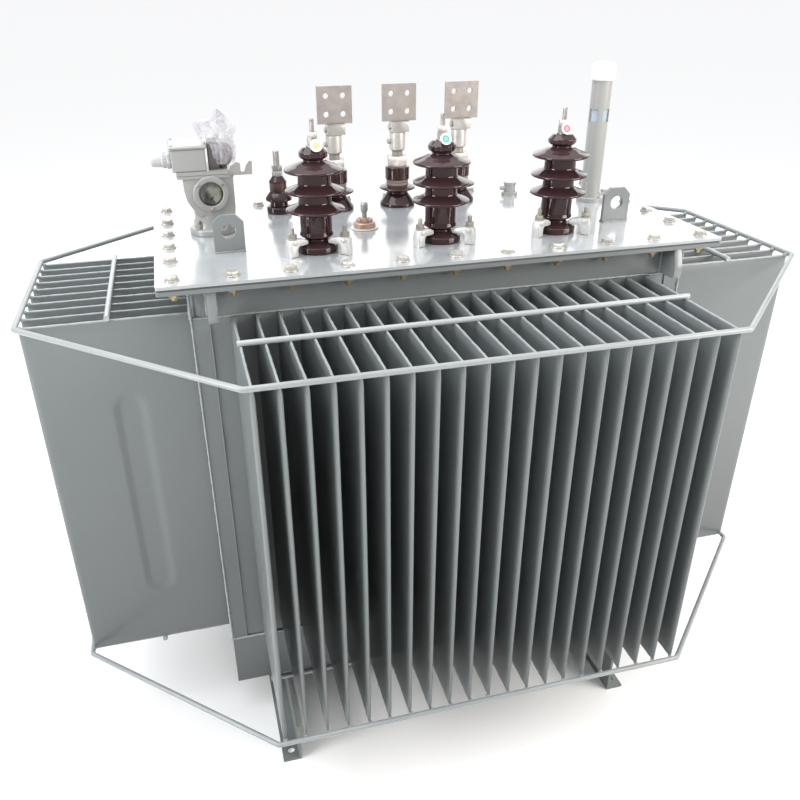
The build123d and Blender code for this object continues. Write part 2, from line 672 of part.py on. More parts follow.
CLIP_T = 3.0
clip_face = [
    (45, plate_top - 10),
    (93, plate_top - 10),
    (94, plate_top + 17),
    (88, plate_top + 17),
    (81, plate_top + 8),
    (77, plate_top - 3),
    (72, plate_top - 4),
    (69, plate_top - 2),
    (69, plate_top + 14),
    (61, plate_top + 17),
    (50, plate_top + 9),
    (45, plate_top),
]
save("relay_clip", on_cover(*RELAY_AT, plate(clip_face, PLATE_Y[0] - CLIP_T / 2, CLIP_T)))

DIAL_CASE = (6.0, 27.0, -22.0, 24.0)
DIAL_TOP = 196.0
DIAL_R = 24.0
DIAL_T = 20.0
DIAL_AT = (36.0, -4.0)
DIAL_TURN = 40.0
dial = block(*DIAL_CASE, plate_top, DIAL_TOP)
drum = Rot(0, 0, DIAL_TURN) * Rot(90, 0, 0) * Cylinder(DIAL_R, DIAL_T)
dial += Pos(*DIAL_AT, plate_top + DIAL_R + 4) * drum
dial += Pos(*DIAL_AT) * post(8, plate_top, plate_top + DIAL_R)
save("relay_dial", on_cover(*RELAY_AT, dial))

FILM_T = 1.2
FILM_Y = (-33.0, 36.0)
film_outline = make_face(
    Polyline(
        (BOX_X[1] + LID_PAST + 0.3, 152),
        (62, 150),
        (66, 171),
        (62, 194),
        (72, 217),
        (33, 255),
        (22, 238),
        (-18, 232),
        (-6, BOX_TOP + LID_T + 2),
        (BOX_X[1] + LID_PAST + 0.3, BOX_TOP + LID_T),
        close=True,
    )
)
film_middle = sum(FILM_Y) / 2
film_half = (FILM_Y[1] - FILM_Y[0]) / 2
film = extrude(Plane.XZ * film_outline, film_half, both=True)
film -= extrude(Plane.XZ * offset(film_outline, -FILM_T, kind=Kind.INTERSECTION), film_half - FILM_T, both=True)
film -= block(-100, 100, -100, 100, 100, 153.5)
save("relay_film", on_cover(*RELAY_AT, Pos(0, film_middle, 0) * film))

# Rings of round bar run right round the fins, just off their top and bottom outer corners.
RING_OFF = (BAR_R + CLEAR) / math.sqrt(2)


def ring(z):
    flat_x = LAST_FIN_LONG + RING_PAST_FIN
    flat_y = LAST_FIN_SHORT + RING_PAST_FIN
    out_x = TIP_X + RING_OFF
    out_y = TIP_Y + RING_OFF
    quarter = [(flat_x, out_y), (out_x, flat_y)]
    corners = quarter + [(x, -y) for x, y in reversed(quarter)]
    corners += [(-x, y) for x, y in reversed(corners)]
    path = Polyline(*corners, close=True)
    section = Plane(path @ 0.01, z_dir=path % 0.01) * Circle(BAR_R)
    return Pos(0, 0, z) * sweep(section, path, transition=Transition.RIGHT)


save("fin_ring_top", ring(FIN_TOP + RING_OFF))
save("fin_ring_bottom", ring(FIN_BOTTOM - RING_OFF))


def mid_bars(z):
    """One straight bar across the fins of each side."""
    along = Rot(0, 90, 0) * Cylinder(BAR_R, 2 * (LAST_FIN_LONG + BAR_PAST_FIN))
    across = Rot(90, 0, 0) * Cylinder(BAR_R, 2 * (LAST_FIN_SHORT + BAR_PAST_FIN))
    bars = [Pos(0, side * (WALL_Y + BAR_FROM_WALL_LONG), z) * along for side in (-1, 1)]
    bars += [Pos(side * (WALL_X + BAR_FROM_WALL_SHORT), 0, z) * across for side in (-1, 1)]
    return bars


save_set("fin_bars_top", mid_bars(FIN_TOP + BAR_R + CLEAR))
save_set("fin_bars_bottom", mid_bars(FIN_BOTTOM - BAR_R - CLEAR))
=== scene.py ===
import math
import random

import bmesh
import bpy
from mathutils import Matrix, Vector, noise


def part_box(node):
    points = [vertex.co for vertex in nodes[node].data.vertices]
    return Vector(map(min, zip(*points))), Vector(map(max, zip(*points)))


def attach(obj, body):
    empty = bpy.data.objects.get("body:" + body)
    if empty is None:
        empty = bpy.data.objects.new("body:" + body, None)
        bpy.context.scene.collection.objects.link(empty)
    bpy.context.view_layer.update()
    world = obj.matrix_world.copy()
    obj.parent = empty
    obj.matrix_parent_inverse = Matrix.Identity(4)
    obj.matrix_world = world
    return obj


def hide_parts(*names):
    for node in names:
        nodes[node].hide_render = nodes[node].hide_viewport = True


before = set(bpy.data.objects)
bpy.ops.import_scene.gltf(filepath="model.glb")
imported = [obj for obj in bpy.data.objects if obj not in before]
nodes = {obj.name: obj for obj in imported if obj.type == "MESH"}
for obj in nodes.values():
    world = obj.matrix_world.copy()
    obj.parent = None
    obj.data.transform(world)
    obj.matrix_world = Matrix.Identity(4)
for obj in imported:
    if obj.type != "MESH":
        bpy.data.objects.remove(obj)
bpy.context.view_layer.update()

# The camera stands to the left of the front, a little above the cover, as in the photograph.
# Its place and lens were solved from the fin tips, which stand at an even pitch, and the bolts
# of the cover.
PICTURE = 800
FOCAL_PX = 786.78
CENTRE_PX = (384.45, 407.92)
CAMERA_AT = Vector((-0.525, -1.7155, 1.6305))
LOOK = Vector((0.22068, 0.85531, -0.46877))
RIGHT = Vector((0.96726, -0.25368, -0.00752))
camera_data = bpy.data.cameras.new("camera")
camera_data.sensor_width = 36.0
camera_data.lens = 36.0 * FOCAL_PX / PICTURE
camera_data.shift_x = (PICTURE / 2 - CENTRE_PX[0]) / PICTURE
camera_data.shift_y = (CENTRE_PX[1] - PICTURE / 2) / PICTURE
camera_data.clip_end = 4000.0
camera = bpy.data.objects.new("camera", camera_data)
bpy.context.collection.objects.link(camera)
up = RIGHT.cross(LOOK).normalized()
turn = Matrix((RIGHT.normalized(), up, -LOOK.normalized())).transposed()
camera.matrix_world = Matrix.Translation(CAMERA_AT) @ turn.to_4x4()
bpy.context.scene.camera = camera
bpy.context.scene.view_settings.view_transform = "Standard"

# A plain pale studio floor under a white sky, which is brightest overhead and which the camera
# sees as plain white. One wide soft panel stands behind, for the cover and the porcelain to
# mirror, with another above and one at each side in front.
FLOOR_HALF = 1000.0
floor_mesh = bpy.data.meshes.new("floor")
floor_corners = [(x * FLOOR_HALF, y * FLOOR_HALF, 0) for x, y in ((-1, -1), (1, -1), (1, 1), (-1, 1))]
floor_mesh.from_pydata(floor_corners, [], [(0, 1, 2, 3)])
floor = bpy.data.objects.new("floor", floor_mesh)
bpy.context.collection.objects.link(floor)
floor_paint = bpy.data.materials.new("floor_paint")
floor_paint.use_nodes = True
floor_surface = floor_paint.node_tree.nodes["Principled BSDF"]
floor_surface.inputs["Base Color"].default_value = (0.93, 0.93, 0.93, 1)
floor_surface.inputs["Roughness"].default_value = 0.95
floor_surface.inputs["Specular IOR Level"].default_value = 0.1
floor_mesh.materials.append(floor_paint)


class Wire:
    """A socket of a node tree that works in Python expressions."""

    def __init__(self, tree, socket=None):
        self.tree = tree
        self.socket = socket

    def node(self, kind, settings, inputs, out=0):
        made = self.tree.nodes.new(kind)
        for key, value in settings.items():
            setattr(made, key, value)
        for key, value in inputs.items():
            if isinstance(value, Wire):
                self.tree.links.new(value.socket, made.inputs[key])
            else:
                made.inputs[key].default_value = value
        return Wire(self.tree, made.outputs[out])

    def maths(self, operation, first, second=0.0):
        return self.node("ShaderNodeMath", {"operation": operation}, {0: first, 1: second})

    def __add__(self, other):
        return self.maths("ADD", self, other)

    __radd__ = __add__

    def __mul__(self, other):
        return self.maths("MULTIPLY", self, other)

    __rmul__ = __mul__

    def __sub__(self, other):
        return self.maths("SUBTRACT", self, other)

    def __rsub__(self, other):
        return self.maths("SUBTRACT", other, self)


def link(wire, shader, socket):
    wire.tree.links.new(wire.socket, shader.inputs[socket])


SKY_LOW = 0.38
SKY_RISE = 1.32
WHITE = 0.97
world = bpy.data.worlds.new("sky")
world.use_nodes = True
sky = Wire(world.node_tree)
direction = sky.node("ShaderNodeTexCoord", {}, {}, "Generated")
height = sky.node("ShaderNodeSeparateXYZ", {}, {"Vector": direction}, "Z")
glow = height * height * SKY_RISE + SKY_LOW
seen = sky.node("ShaderNodeLightPath", {}, {}, "Is Camera Ray")
backdrop = world.node_tree.nodes["Background"]
backdrop.inputs["Color"].default_value = (0.985, 0.99, 1.0, 1)
link(sky.maths("MAXIMUM", glow, seen * WHITE), backdrop, "Strength")
bpy.context.scene.world = world


def soft_light(name, place, aim, size, watts, tint=(1.0, 1.0, 1.0)):
    """Soft panel of (width, height) that stands at a place and faces a point."""
    data = bpy.data.lights.new(name, "AREA")
    data.color = tint
    data.shape = "RECTANGLE"
    data.size, data.size_y = size
    data.energy = watts
    lamp = bpy.data.objects.new(name, data)
    lamp.location = place
    lamp.rotation_euler = (Vector(aim) - Vector(place)).to_track_quat("-Z", "Y").to_euler()
    bpy.context.collection.objects.link(lamp)


soft_light("light_above", (-1.6, 0.0, 4.2), (0.0, 0.0, 0.9), (3.0, 2.5), 72.0, (0.90, 0.96, 1.0))
soft_light("light_behind", (1.2, 5.0, 3.0), (0.0, 0.0, 1.2), (8.0, 3.0), 120.0)
soft_light("light_left", (-4.2, -1.45, 2.3), (0.0, -0.3, 0.7), (1.6, 1.6), 125.0)
soft_light("light_right", (2.3, -1.9, 1.9), (0.5, 0.0, 0.8), (1.8, 1.4), 82.0, (1.0, 0.96, 0.90))


# Fin walls: thin sheet folded into flat hollow fins with round noses, their top and bottom edges
# pressed shut and welded, and a long shallow rib in the broad outer face of each wall's end fins.
# All of the tank has one coat of mid grey paint with a slight orange peel and some pale dust,
# and painted shade darkens it towards the ground.
def finish(name, **settings):
    """A new material, with the wire that starts its expressions and its surface shader."""
    made = bpy.data.materials.new(name)
    made.use_nodes = True
    surface = made.node_tree.nodes["Principled BSDF"]
    for key, value in settings.items():
        surface.inputs[key.replace("_", " ").title().replace("Ior", "IOR")].default_value = value
    return made, Wire(made.node_tree), surface


def mottle(wire, scale, detail=4.0, stretch=(1, 1, 1)):
    """Soft noise from 0 to 1, of about scale blotches to the metre."""
    place = wire.node("ShaderNodeTexCoord", {}, {}, "Object")
    place = wire.node("ShaderNodeMapping", {}, {"Vector": place, "Scale": stretch})
    return wire.node("ShaderNodeTexNoise", {}, {"Vector": place, "Scale": scale, "Detail": detail})


def between(wire, value, low, high):
    """Value taken from low..high to 0..1 and kept there."""
    settings = {"clamp": True, "interpolation_type": "SMOOTHSTEP"}
    return wire.node("ShaderNodeMapRange", settings, {"Value": value, "From Min": low, "From Max": high})


def mix(wire, share, first, second):
    """First colour where share is 0, second where it is 1."""
    inputs = {"Factor": share, 6: first, 7: second}
    return wire.node("ShaderNodeMix", {"data_type": "RGBA"}, inputs, 2)


def bump(wire, height, distance, surface):
    inputs = {"Height": height, "Strength": 1.0, "Distance": distance}
    link(wire.node("ShaderNodeBump", {}, inputs), surface, "Normal")


def upward(wire):
    """1 where the surface faces up, 0 where it faces sideways."""
    normal = wire.node("ShaderNodeNewGeometry", {}, {}, "Normal")
    height = wire.node("ShaderNodeSeparateXYZ", {}, {"Vector": normal}, "Z")
    return between(wire, height, 0.4, 0.95)


def paint(name, colour, dull, roughness, coat=0.2, peel=0.0002, dust=0.35, ground_shade=0.0):
    """Sprayed paint with faint colour drift, runs, dull patches, orange peel and dust on top.

    Ground shade from 0 to 1 darkens it towards the ground: a painted shade."""
    made, wire, surface = finish(name, roughness=roughness, coat_weight=coat, coat_roughness=0.12)
    broad = mottle(wire, 2.5)
    runs = mottle(wire, 30.0, 3.0, (1, 1, 0.06))
    fine = mottle(wire, 220.0, 2.0)
    specks = between(wire, mottle(wire, 120.0, 3.0), 0.62, 0.75)
    base = mix(wire, broad * 0.7 + runs * 0.3, (*colour, 1), (*dull, 1))
    share = upward(wire) * dust * between(wire, mottle(wire, 9.0, 6.0), 0.35, 0.75)
    pale = tuple(min(1.0, 0.25 + 0.8 * c) for c in dull)
    base = mix(wire, share + specks * 0.06, base, (*pale, 1))
    # Painted shade: a mottled darkening towards the ground, where the lower parts get less light.
    place = wire.node("ShaderNodeTexCoord", {}, {}, "Object")
    level = wire.node("ShaderNodeSeparateXYZ", {}, {"Vector": place}, "Z")
    low = between(wire, level + broad * 0.15, 1.2, -0.1) * ground_shade
    base = mix(wire, low, base, tuple(0.45 * c for c in colour) + (1,))
    link(base, surface, "Base Color")
    link(roughness - 0.08 + broad * 0.16 + share * 0.25, surface, "Roughness")
    bump(wire, fine + broad * 2.0 + runs * 0.5, peel, surface)
    return made


def at(x, y, z):
    """Place moved to a point."""
    return Matrix.Translation((x, y, z))


def about(axis, degrees):
    """Place turned about the X, Y or Z axis."""
    return Matrix.Rotation(math.radians(degrees), 4, axis)


def circle(count):
    """Angles in even steps right round."""
    return [2 * math.pi * j / count for j in range(count)]


class Shape:
    """Faces gathered for one piece."""

    def __init__(self):
        self.points = []
        self.faces = []

    def skin(self, rings, loop=False, caps=True):
        """Join rings of points, each with the same count, into one skin."""
        start = len(self.points)
        size = len(rings[0])
        for ring in rings:
            self.points.extend(ring)
        for i in range(len(rings) if loop else len(rings) - 1):
            low = start + i * size
            high = start + (i + 1) % len(rings) * size
            for j in range(size):
                k = (j + 1) % size
                self.faces.append((low + j, low + k, high + k, high + j))
        if caps and not loop:
            last = start + (len(rings) - 1) * size
            self.faces.append(tuple(start + j for j in reversed(range(size))))
            self.faces.append(tuple(last + j for j in range(size)))

    def turned(self, place, profile, sides, caps=True):
        """Turn (radius, height) points about the Z axis of place."""
        turns = circle(sides)
        rings = [[(r * math.cos(a), r * math.sin(a), z) for a in turns] for r, z in profile]
        self.skin([[place @ Vector(point) for point in ring] for ring in rings], caps=caps)

    def plate(self, place, outline, thickness, edge):
        """Plate of (x, z) outline, centred across the Y axis of place, with eased edges."""
        inner = inset(outline, edge)
        shoulder = inset(outline, edge * 0.3)
        half = thickness / 2
        levels = (inner, -half), (shoulder, edge * 0.3 - half), (outline, edge - half)
        levels += (outline, half - edge), (shoulder, half - edge * 0.3), (inner, half)
        self.skin([[place @ Vector((x, y, z)) for x, z in level] for level, y in levels])

    def bar(self, path, radius, sides=10, loop=False, ripple=0.0, seed=1):
        """Round bar along a path, or a weld bead where ripple varies its thickness."""
        chance = random.Random(seed)
        turns = circle(sides)
        rings = []
        for i, point in enumerate(path):
            before = path[i - 1] if i or loop else point
            after = path[(i + 1) % len(path)] if i < len(path) - 1 or loop else point
            along = (after - before).normalized()
            aside = Vector((0, 0, 1)) if abs(along.z) < 0.8 else Vector((1, 0, 0))
            across = along.cross(aside).normalized()
            rise = across.cross(along)
            thick = radius * (1 + ripple * chance.uniform(-1, 1))
            shift = across * radius * ripple * chance.uniform(-1, 1)
            spokes = [across * math.cos(a) + rise * math.sin(a) for a in turns]
            rings.append([point + shift + thick * spoke for spoke in spokes])
        self.skin(rings, loop=loop)


def piece(name, shape, material, replaced=(), sharp=38.0):
    """Make a piece of the object from its shape, standing for CAD nodes where named."""
    mesh = bpy.data.meshes.new(name)
    mesh.from_pydata([tuple(point) for point in shape.points], [], shape.faces)
    work = bmesh.new()
    work.from_mesh(mesh)
    bmesh.ops.recalc_face_normals(work, faces=work.faces)
    work.to_mesh(mesh)
    work.free()
    mesh.shade_smooth()
    mesh.set_sharp_from_angle(angle=math.radians(sharp))
    made = bpy.data.objects.new(name, mesh)
    bpy.context.collection.objects.link(made)
    mesh.materials.append(material)
    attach(made, "root")
    if replaced:
        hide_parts(*replaced)
    return made


def steps(first, last, gap):
    """Points from first to last, about gap apart."""
    first, last = Vector(first), Vector(last)
    count = max(2, round((last - first).length / gap))
    return [first.lerp(last, i / count) for i in range(count + 1)]


# The tank paint is drawn darker towards the ground, a painted shade.
tank_paint = paint("tank_paint", (0.155, 0.171, 0.173), (0.180, 0.197, 0.199), 0.36, coat=0.2, ground_shade=0.9)
# Weld paint: the tank paint drawn paler, a painted highlight on the thin beads.
lit_weld_paint = paint("lit_weld_paint", (0.275, 0.295, 0.30), (0.33, 0.352, 0.357), 0.34, coat=0.25)
SHEET = 0.002
PITCH = 0.045
LONG_FINS = 21
SHORT_FINS = 10
FIN_HALF = 0.0052
NOSE = 0.011
PINCH = 0.026
RIB_HALF = 0.030
RIB_DEPTH = 0.0038
RIB_SLOPE = 0.006
RIB_FROM_WALL = 0.144
RIB_FROM_BOTTOM = 0.147
RIB_FROM_TOP = 0.161
RIB_COLUMNS = 44
RIB_ROWS = 90
PINCH_ROWS = 5
EDGE_BEAD = 0.0027
FOOT_BEAD = 0.0016
band_low, band_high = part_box("top_band")
fin_top = band_low.z - 0.005
fin_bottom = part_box("fin_wall_front")[0].z + 0.006


def fin(shape, place, reach, ribbed):
    """Add one fin running to -Y, with the rib on its +X face (ribbed 1), -X face (-1) or none (0)."""
    nose = [math.pi * i / 8 for i in range(1, 8)]
    lengths = [reach * i / RIB_COLUMNS for i in range(RIB_COLUMNS - 1)] if ribbed else [0, reach / 2]
    lengths = [y for y in lengths if y < reach - NOSE] + [reach - NOSE]
    span = fin_top - fin_bottom - 2 * PINCH
    count = RIB_ROWS if ribbed else 1
    rises = [fin_bottom + PINCH * i / PINCH_ROWS for i in range(PINCH_ROWS)]
    rises += [fin_bottom + PINCH + span * i / count for i in range(count + 1)]
    rises += [fin_top - PINCH * i / PINCH_ROWS for i in reversed(range(PINCH_ROWS))]
    low = fin_bottom + RIB_FROM_BOTTOM + RIB_HALF
    high = fin_top - RIB_FROM_TOP - RIB_HALF
    rings = []
    for z in rises:
        shut = min(1.0, (z - fin_bottom) / PINCH, (fin_top - z) / PINCH)
        open_share = math.sin(shut * math.pi / 2)
        thick = SHEET + (FIN_HALF - SHEET) * open_share
        nose_long = SHEET + (NOSE - SHEET) * open_share

        def side(y, sign):
            sunk = 0.0
            if sign == ribbed:
                beyond = max(low - z, 0, z - high)
                inside = RIB_HALF - math.hypot(beyond, y - RIB_FROM_WALL)
                step = min(max(inside / RIB_SLOPE, 0), 1)
                sunk = RIB_DEPTH * step * step * (3 - 2 * step)
            return Vector((sign * (thick - sunk), -y, z))

        ring = [side(y, -1) for y in lengths]
        end = reach - nose_long
        ring += [Vector((-thick * math.cos(a), -end - nose_long * math.sin(a), z)) for a in nose]
        ring += [side(y, 1) for y in reversed(lengths)]
        rings.append([place @ point for point in ring])
    shape.skin(rings)


def fin_places(count):
    """Even places along a wall, centred on it."""
    return [(i - (count - 1) / 2) * PITCH for i in range(count)]


def fin_wall(node, turns):
    """One side of the tank: a sheet with all its fins, turned in quarters from the front."""
    low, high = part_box(node)
    size = high - low
    along, deep = (size.y, size.x) if turns % 2 else (size.x, size.y)
    reach = deep - SHEET
    outer = (-low.y, high.x, high.y, -low.x)[turns]
    place = about("Z", turns * 90) @ at(0, reach - outer, 0)
    count = SHORT_FINS if turns % 2 else LONG_FINS
    shape = Shape()
    seams = Shape()
    sheet = [(-along / 2, 0), (along / 2, 0), (along / 2, SHEET), (-along / 2, SHEET)]
    shape.skin([[place @ Vector((x, y, z)) for x, y in sheet] for z in (low.z, high.z)])
    for i, x in enumerate(fin_places(count)):
        spot = place @ at(x, 0, 0)
        fin(shape, spot, reach, -1 if i == 0 else 1 if i == count - 1 else 0)
        for z in (fin_bottom + 0.0008, fin_top - 0.0008):
            bead = [spot @ p for p in steps((0, -0.001, z), (0, -reach + 0.001, z), 0.009)]
            seams.bar(bead, EDGE_BEAD, 6, ripple=0.14, seed=i)
        middle = (fin_bottom + fin_top) / 2
        foot = [spot @ Vector((FIN_HALF, -0.0008, z)) for z in (fin_bottom, middle, fin_top)]
        seams.bar(foot, FOOT_BEAD, 6)
    piece(node + "_folded", shape, tank_paint, (node,))
    # Painted highlight: the fin seams take the paler weld paint.
    piece(node + "_seams", seams, lit_weld_paint, sharp=80.0)


for turns, node in enumerate(("fin_wall_front", "fin_wall_right", "fin_wall_back", "fin_wall_left")):
    fin_wall(node, turns)

# Corner posts, band, trough and rails are folded and cut plate, welded together with rippled
# beads that the same paint covers; the main beads are drawn paler, a painted highlight. The rails
# have a thinner coat, dusty from the ground.
def dress(material, *names):
    for name in names:
        for place in nodes[name].material_slots:
            place.material = material


dress(tank_paint, "corner_posts", "top_band", "bottom_trough", "rim_flange")
rail_paint = paint("rail_paint", (0.165, 0.188, 0.183), (0.095, 0.106, 0.102), 0.46, coat=0.1, dust=0.5)
dress(rail_paint, "rail_left", "rail_right")
BEAD = 0.0022
CORNER_BEAD = 0.0026
ROUGH_BEAD = 0.0036
RAIL_BEAD = 0.0030
POST_FACE = 0.035
RAIL_WEB = (0.125, 0.119)
HOOK_T = 0.018
HOOK_IN = 0.041


def loop_bead(shape, half_x, half_y, z, radius, seed):
    """Weld bead right round the tank at one height."""
    corners = [(-half_x, -half_y, z), (half_x, -half_y, z), (half_x, half_y, z), (-half_x, half_y, z)]
    path = []
    for first, last in zip(corners, corners[1:] + corners[:1]):
        path += steps(first, last, 0.006)[:-1]
    shape.bar(path, radius, 6, loop=True, ripple=0.28, seed=seed)


welds = Shape()
seams = Shape()
band_x, band_y = band_high.x, band_high.y
trough_low, trough_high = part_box("bottom_trough")
loop_bead(welds, band_x + 0.0006, band_y + 0.0006, band_low.z, BEAD, 1)
loop_bead(welds, band_x + 0.0008, band_y + 0.0008, trough_high.z, BEAD, 2)
loop_bead(welds, band_x + 0.001, band_y + 0.001, band_high.z - 0.001, BEAD, 3)
for i, (sx, sy) in enumerate(((-1, -1), (1, -1), (-1, 1), (1, 1))):
    x, y = sx * band_x, sy * band_y
    corner = steps((x, y, trough_high.z), (x, y, band_low.z), 0.006)
    welds.bar(corner, CORNER_BEAD, 6, ripple=0.35, seed=10 + i)
    rough = steps((x, y, band_low.z), (x, y, band_high.z), 0.005)
    welds.bar(rough, ROUGH_BEAD, 6, ripple=0.5, seed=70 + i)
    for seam_x, seam_y, seed in ((x - sx * POST_FACE, y, 20 + i), (x, y - sy * POST_FACE, 30 + i)):
        seam = steps((seam_x, seam_y, trough_high.z), (seam_x, seam_y, band_low.z), 0.007)
        seams.bar(seam, FOOT_BEAD, 6, ripple=0.45, seed=seed)
    for side in (-1, 1):
        foot_x = x - sx * HOOK_IN + side * (HOOK_T / 2 + 0.0005)
        foot = steps((foot_x, y, band_low.z + 0.004), (foot_x, y, band_high.z), 0.006)
        welds.bar(foot, CORNER_BEAD, 6, ripple=0.3, seed=40 + i)
for side in (-1, 1):
    for web in RAIL_WEB:
        x = side * (band_x - web)
        under = steps((x, -band_y, trough_low.z), (x, band_y, trough_low.z), 0.008)
        welds.bar(under, RAIL_BEAD, 6, ripple=0.3, seed=60)
piece("tank_welds", welds, lit_weld_paint, sharp=80.0)
piece("post_seams", seams, tank_paint, sharp=80.0)

# Four lifting hooks of thick plate are welded on end to the band under the rim. They are rounded
# at their lower outer corner and reach out further there than at the rim.
def inset(outline, distance):
    """Outline moved inwards by distance; it runs clockwise or anticlockwise."""
    area = sum(a[0] * b[1] - b[0] * a[1] for a, b in zip(outline, outline[1:] + outline[:1]))
    side = 1 if area > 0 else -1
    moved = []
    for before, here, after in zip(outline[-1:] + outline[:-1], outline, outline[1:] + outline[:1]):
        first = Vector((here[0] - before[0], here[1] - before[1])).normalized()
        second = Vector((after[0] - here[0], after[1] - here[1])).normalized()
        normal = Vector((-first.y - second.y, first.x + second.x))
        reach = distance * side / max(0.3, 1 + first.dot(second))
        moved.append((here[0] + normal.x * reach, here[1] + normal.y * reach))
    return moved


def arc(start, corner, end, count):
    """Points of a smooth turn past a corner."""
    shares = [i / count for i in range(count + 1)]
    return [start * (1 - t) ** 2 + corner * 2 * t * (1 - t) + end * t * t for t in shares]


def eased(profile, count=4):
    """Outline with each corner turned by its own radius, given as a third number."""
    path = []
    for i, (r, z, *ease) in enumerate(profile):
        if not ease or not 0 < i < len(profile) - 1:
            path.append((r, z))
            continue
        here = Vector((r, z))
        before = Vector(profile[i - 1][:2]) - here
        after = Vector(profile[i + 1][:2]) - here
        reach = min(ease[0], before.length * 0.49, after.length * 0.49)
        start = here + before.normalized() * reach
        end = here + after.normalized() * reach
        path += [tuple(point) for point in arc(start, here, end, count)]
    return path


lug_paint = paint("lug_paint", (0.19, 0.203, 0.206), (0.222, 0.237, 0.24), 0.34, coat=0.3)
low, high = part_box("tank_hooks")
hook_outline = [(0, low.z), (0.052, low.z, 0.018), (0.055, low.z + 0.022, 0.010)]
hook_outline += [(0.042, high.z), (0, high.z)]
hooks = Shape()
for turns in (0, 2):
    for x in (HOOK_IN - band_x, band_x - HOOK_IN):
        place = about("Z", turns * 90) @ at(x, -band_y, 0) @ about("Z", -90)
        hooks.plate(place, eased(hook_outline), HOOK_T, 0.0012)
piece("tank_hook_plates", hooks, lug_paint, ("tank_hooks",))

# Two rings of bent round bar hold the fin tips, with a tack weld at every fin, and straight
# bars cross the fins half way; all have a lighter grey paint, darker on the bottom ring and bars.
# The upper straight bars are drawn paler still, a painted highlight.
bar_paint = paint("bar_paint", (0.27, 0.288, 0.292), (0.32, 0.338, 0.342), 0.33, coat=0.25)
low_bar_paint = paint("low_bar_paint", (0.215, 0.235, 0.24), (0.26, 0.28, 0.285), 0.33, coat=0.25)
# Painted highlight: the upper straight bars take a paler copy of the bar paint.
lit_mid_bar_paint = paint("lit_mid_bar_paint", (0.35, 0.37, 0.378), (0.41, 0.43, 0.438), 0.30, coat=0.3)
dress(lit_mid_bar_paint, "fin_bars_top")
dress(low_bar_paint, "fin_bars_bottom")
BEND = 0.010
RING_PAST = 0.014


def bent(corners, radius, count=6):
    """Closed path through corners, each turned with an arc of that radius."""
    path = []
    for before, here, after in zip(corners[-1:] + corners[:-1], corners, corners[1:] + corners[:1]):
        back = (before - here).normalized()
        ahead = (after - here).normalized()
        half_turn = math.acos(max(-1, min(1, back.dot(ahead)))) / 2
        reach = radius / math.tan(half_turn)
        path += arc(here + back * reach, here, here + ahead * reach, count)
    return path


for name, coat, inward, tack in (
    ("fin_ring_top", bar_paint, -1, 0.0060),
    ("fin_ring_bottom", low_bar_paint, 1, 0.0042),
):
    low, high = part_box(name)
    bar_r = (high.z - low.z) / 2
    z = (low.z + high.z) / 2
    out_x, out_y = high.x - bar_r, high.y - bar_r
    flat_x = fin_places(LONG_FINS)[-1] + RING_PAST
    flat_y = fin_places(SHORT_FINS)[-1] + RING_PAST
    quarter = [(flat_x, out_y), (out_x, flat_y)]
    corners = quarter + [(x, -y) for x, y in reversed(quarter)]
    corners += [(-x, y) for x, y in reversed(corners)]
    ring = Shape()
    ring.bar(bent([Vector((x, y, z)) for x, y in corners], BEND), bar_r, 14, loop=True)
    chance = random.Random(name)
    tips = [(x, side * (out_y - bar_r * 1.2)) for x in fin_places(LONG_FINS) for side in (-1, 1)]
    tips += [(side * (out_x - bar_r * 1.2), y) for y in fin_places(SHORT_FINS) for side in (-1, 1)]
    for x, y in tips:
        size = tack * chance.uniform(0.85, 1.2)
        blob = [(0.0005, -1.0), (0.7, -0.7), (1.0, 0.0), (0.7, 0.7), (0.0005, 1.0)]
        place = at(x + chance.uniform(-0.002, 0.002), y, z + inward * bar_r * 0.7)
        ring.turned(place, [(r * size, h * size * 0.8) for r, h in blob], 8)
    piece(name + "_bent", ring, coat, (name,), sharp=60.0)

# The cover is a plate with glossy light grey paint, faintly scratched and dusty, on a black
# rubber gasket that shows as a thin dark line above the rim.
cover_paint = paint("cover_paint", (0.37, 0.39, 0.405), (0.42, 0.44, 0.455), 0.16, coat=0.8, peel=0.00008)
dress(cover_paint, "cover_plate")


def moulded(name, colour, dull, roughness, blotch, grain, relief):
    """Rubber or plastic of two close tones with a fine grain."""
    made, wire, surface = finish(name, roughness=roughness)
    link(mix(wire, mottle(wire, blotch), (*colour, 1), (*dull, 1)), surface, "Base Color")
    bump(wire, mottle(wire, grain), relief, surface)
    return made


rubber = moulded("rubber", (0.14, 0.145, 0.145), (0.07, 0.07, 0.07), 0.7, 60.0, 400.0, 0.0003)
dress(rubber, "cover_gasket")


# Hexagon bolts with plain washers hold the cover all round: pale zinc heads above, and
# yellow-passivated washers and nuts with a thread end under the rim.
def metal(name, colour, dull, roughness, metallic, grain=300.0):
    """Plated or cast metal with cloudy tone, small pits and duller patches."""
    made, wire, surface = finish(name, metallic=metallic, roughness=roughness)
    cloud = mottle(wire, 40.0, 6.0)
    link(mix(wire, between(wire, cloud, 0.3, 0.7), (*colour, 1), (*dull, 1)), surface, "Base Color")
    link(roughness - 0.1 + cloud * 0.25, surface, "Roughness")
    bump(wire, mottle(wire, grain, 4.0), 0.0003, surface)
    return made


zinc_pale = metal("zinc_pale", (0.60, 0.572, 0.53), (0.41, 0.385, 0.35), 0.36, 0.45)
zinc_yellow = metal("zinc_yellow", (0.46, 0.36, 0.20), (0.30, 0.23, 0.14), 0.38, 0.6)
WASHER = (0.0142, 0.0026)
BOLT_HEAD = (0.0120, 0.0066)
RIM_NUT = (0.0120, 0.0105)
BOLT_IN_X = 0.031
BOLT_IN_Y = 0.035
LONG_BOLTS = 11
END_BOLTS_Y = (-0.150, -0.050, 0.050, 0.150)


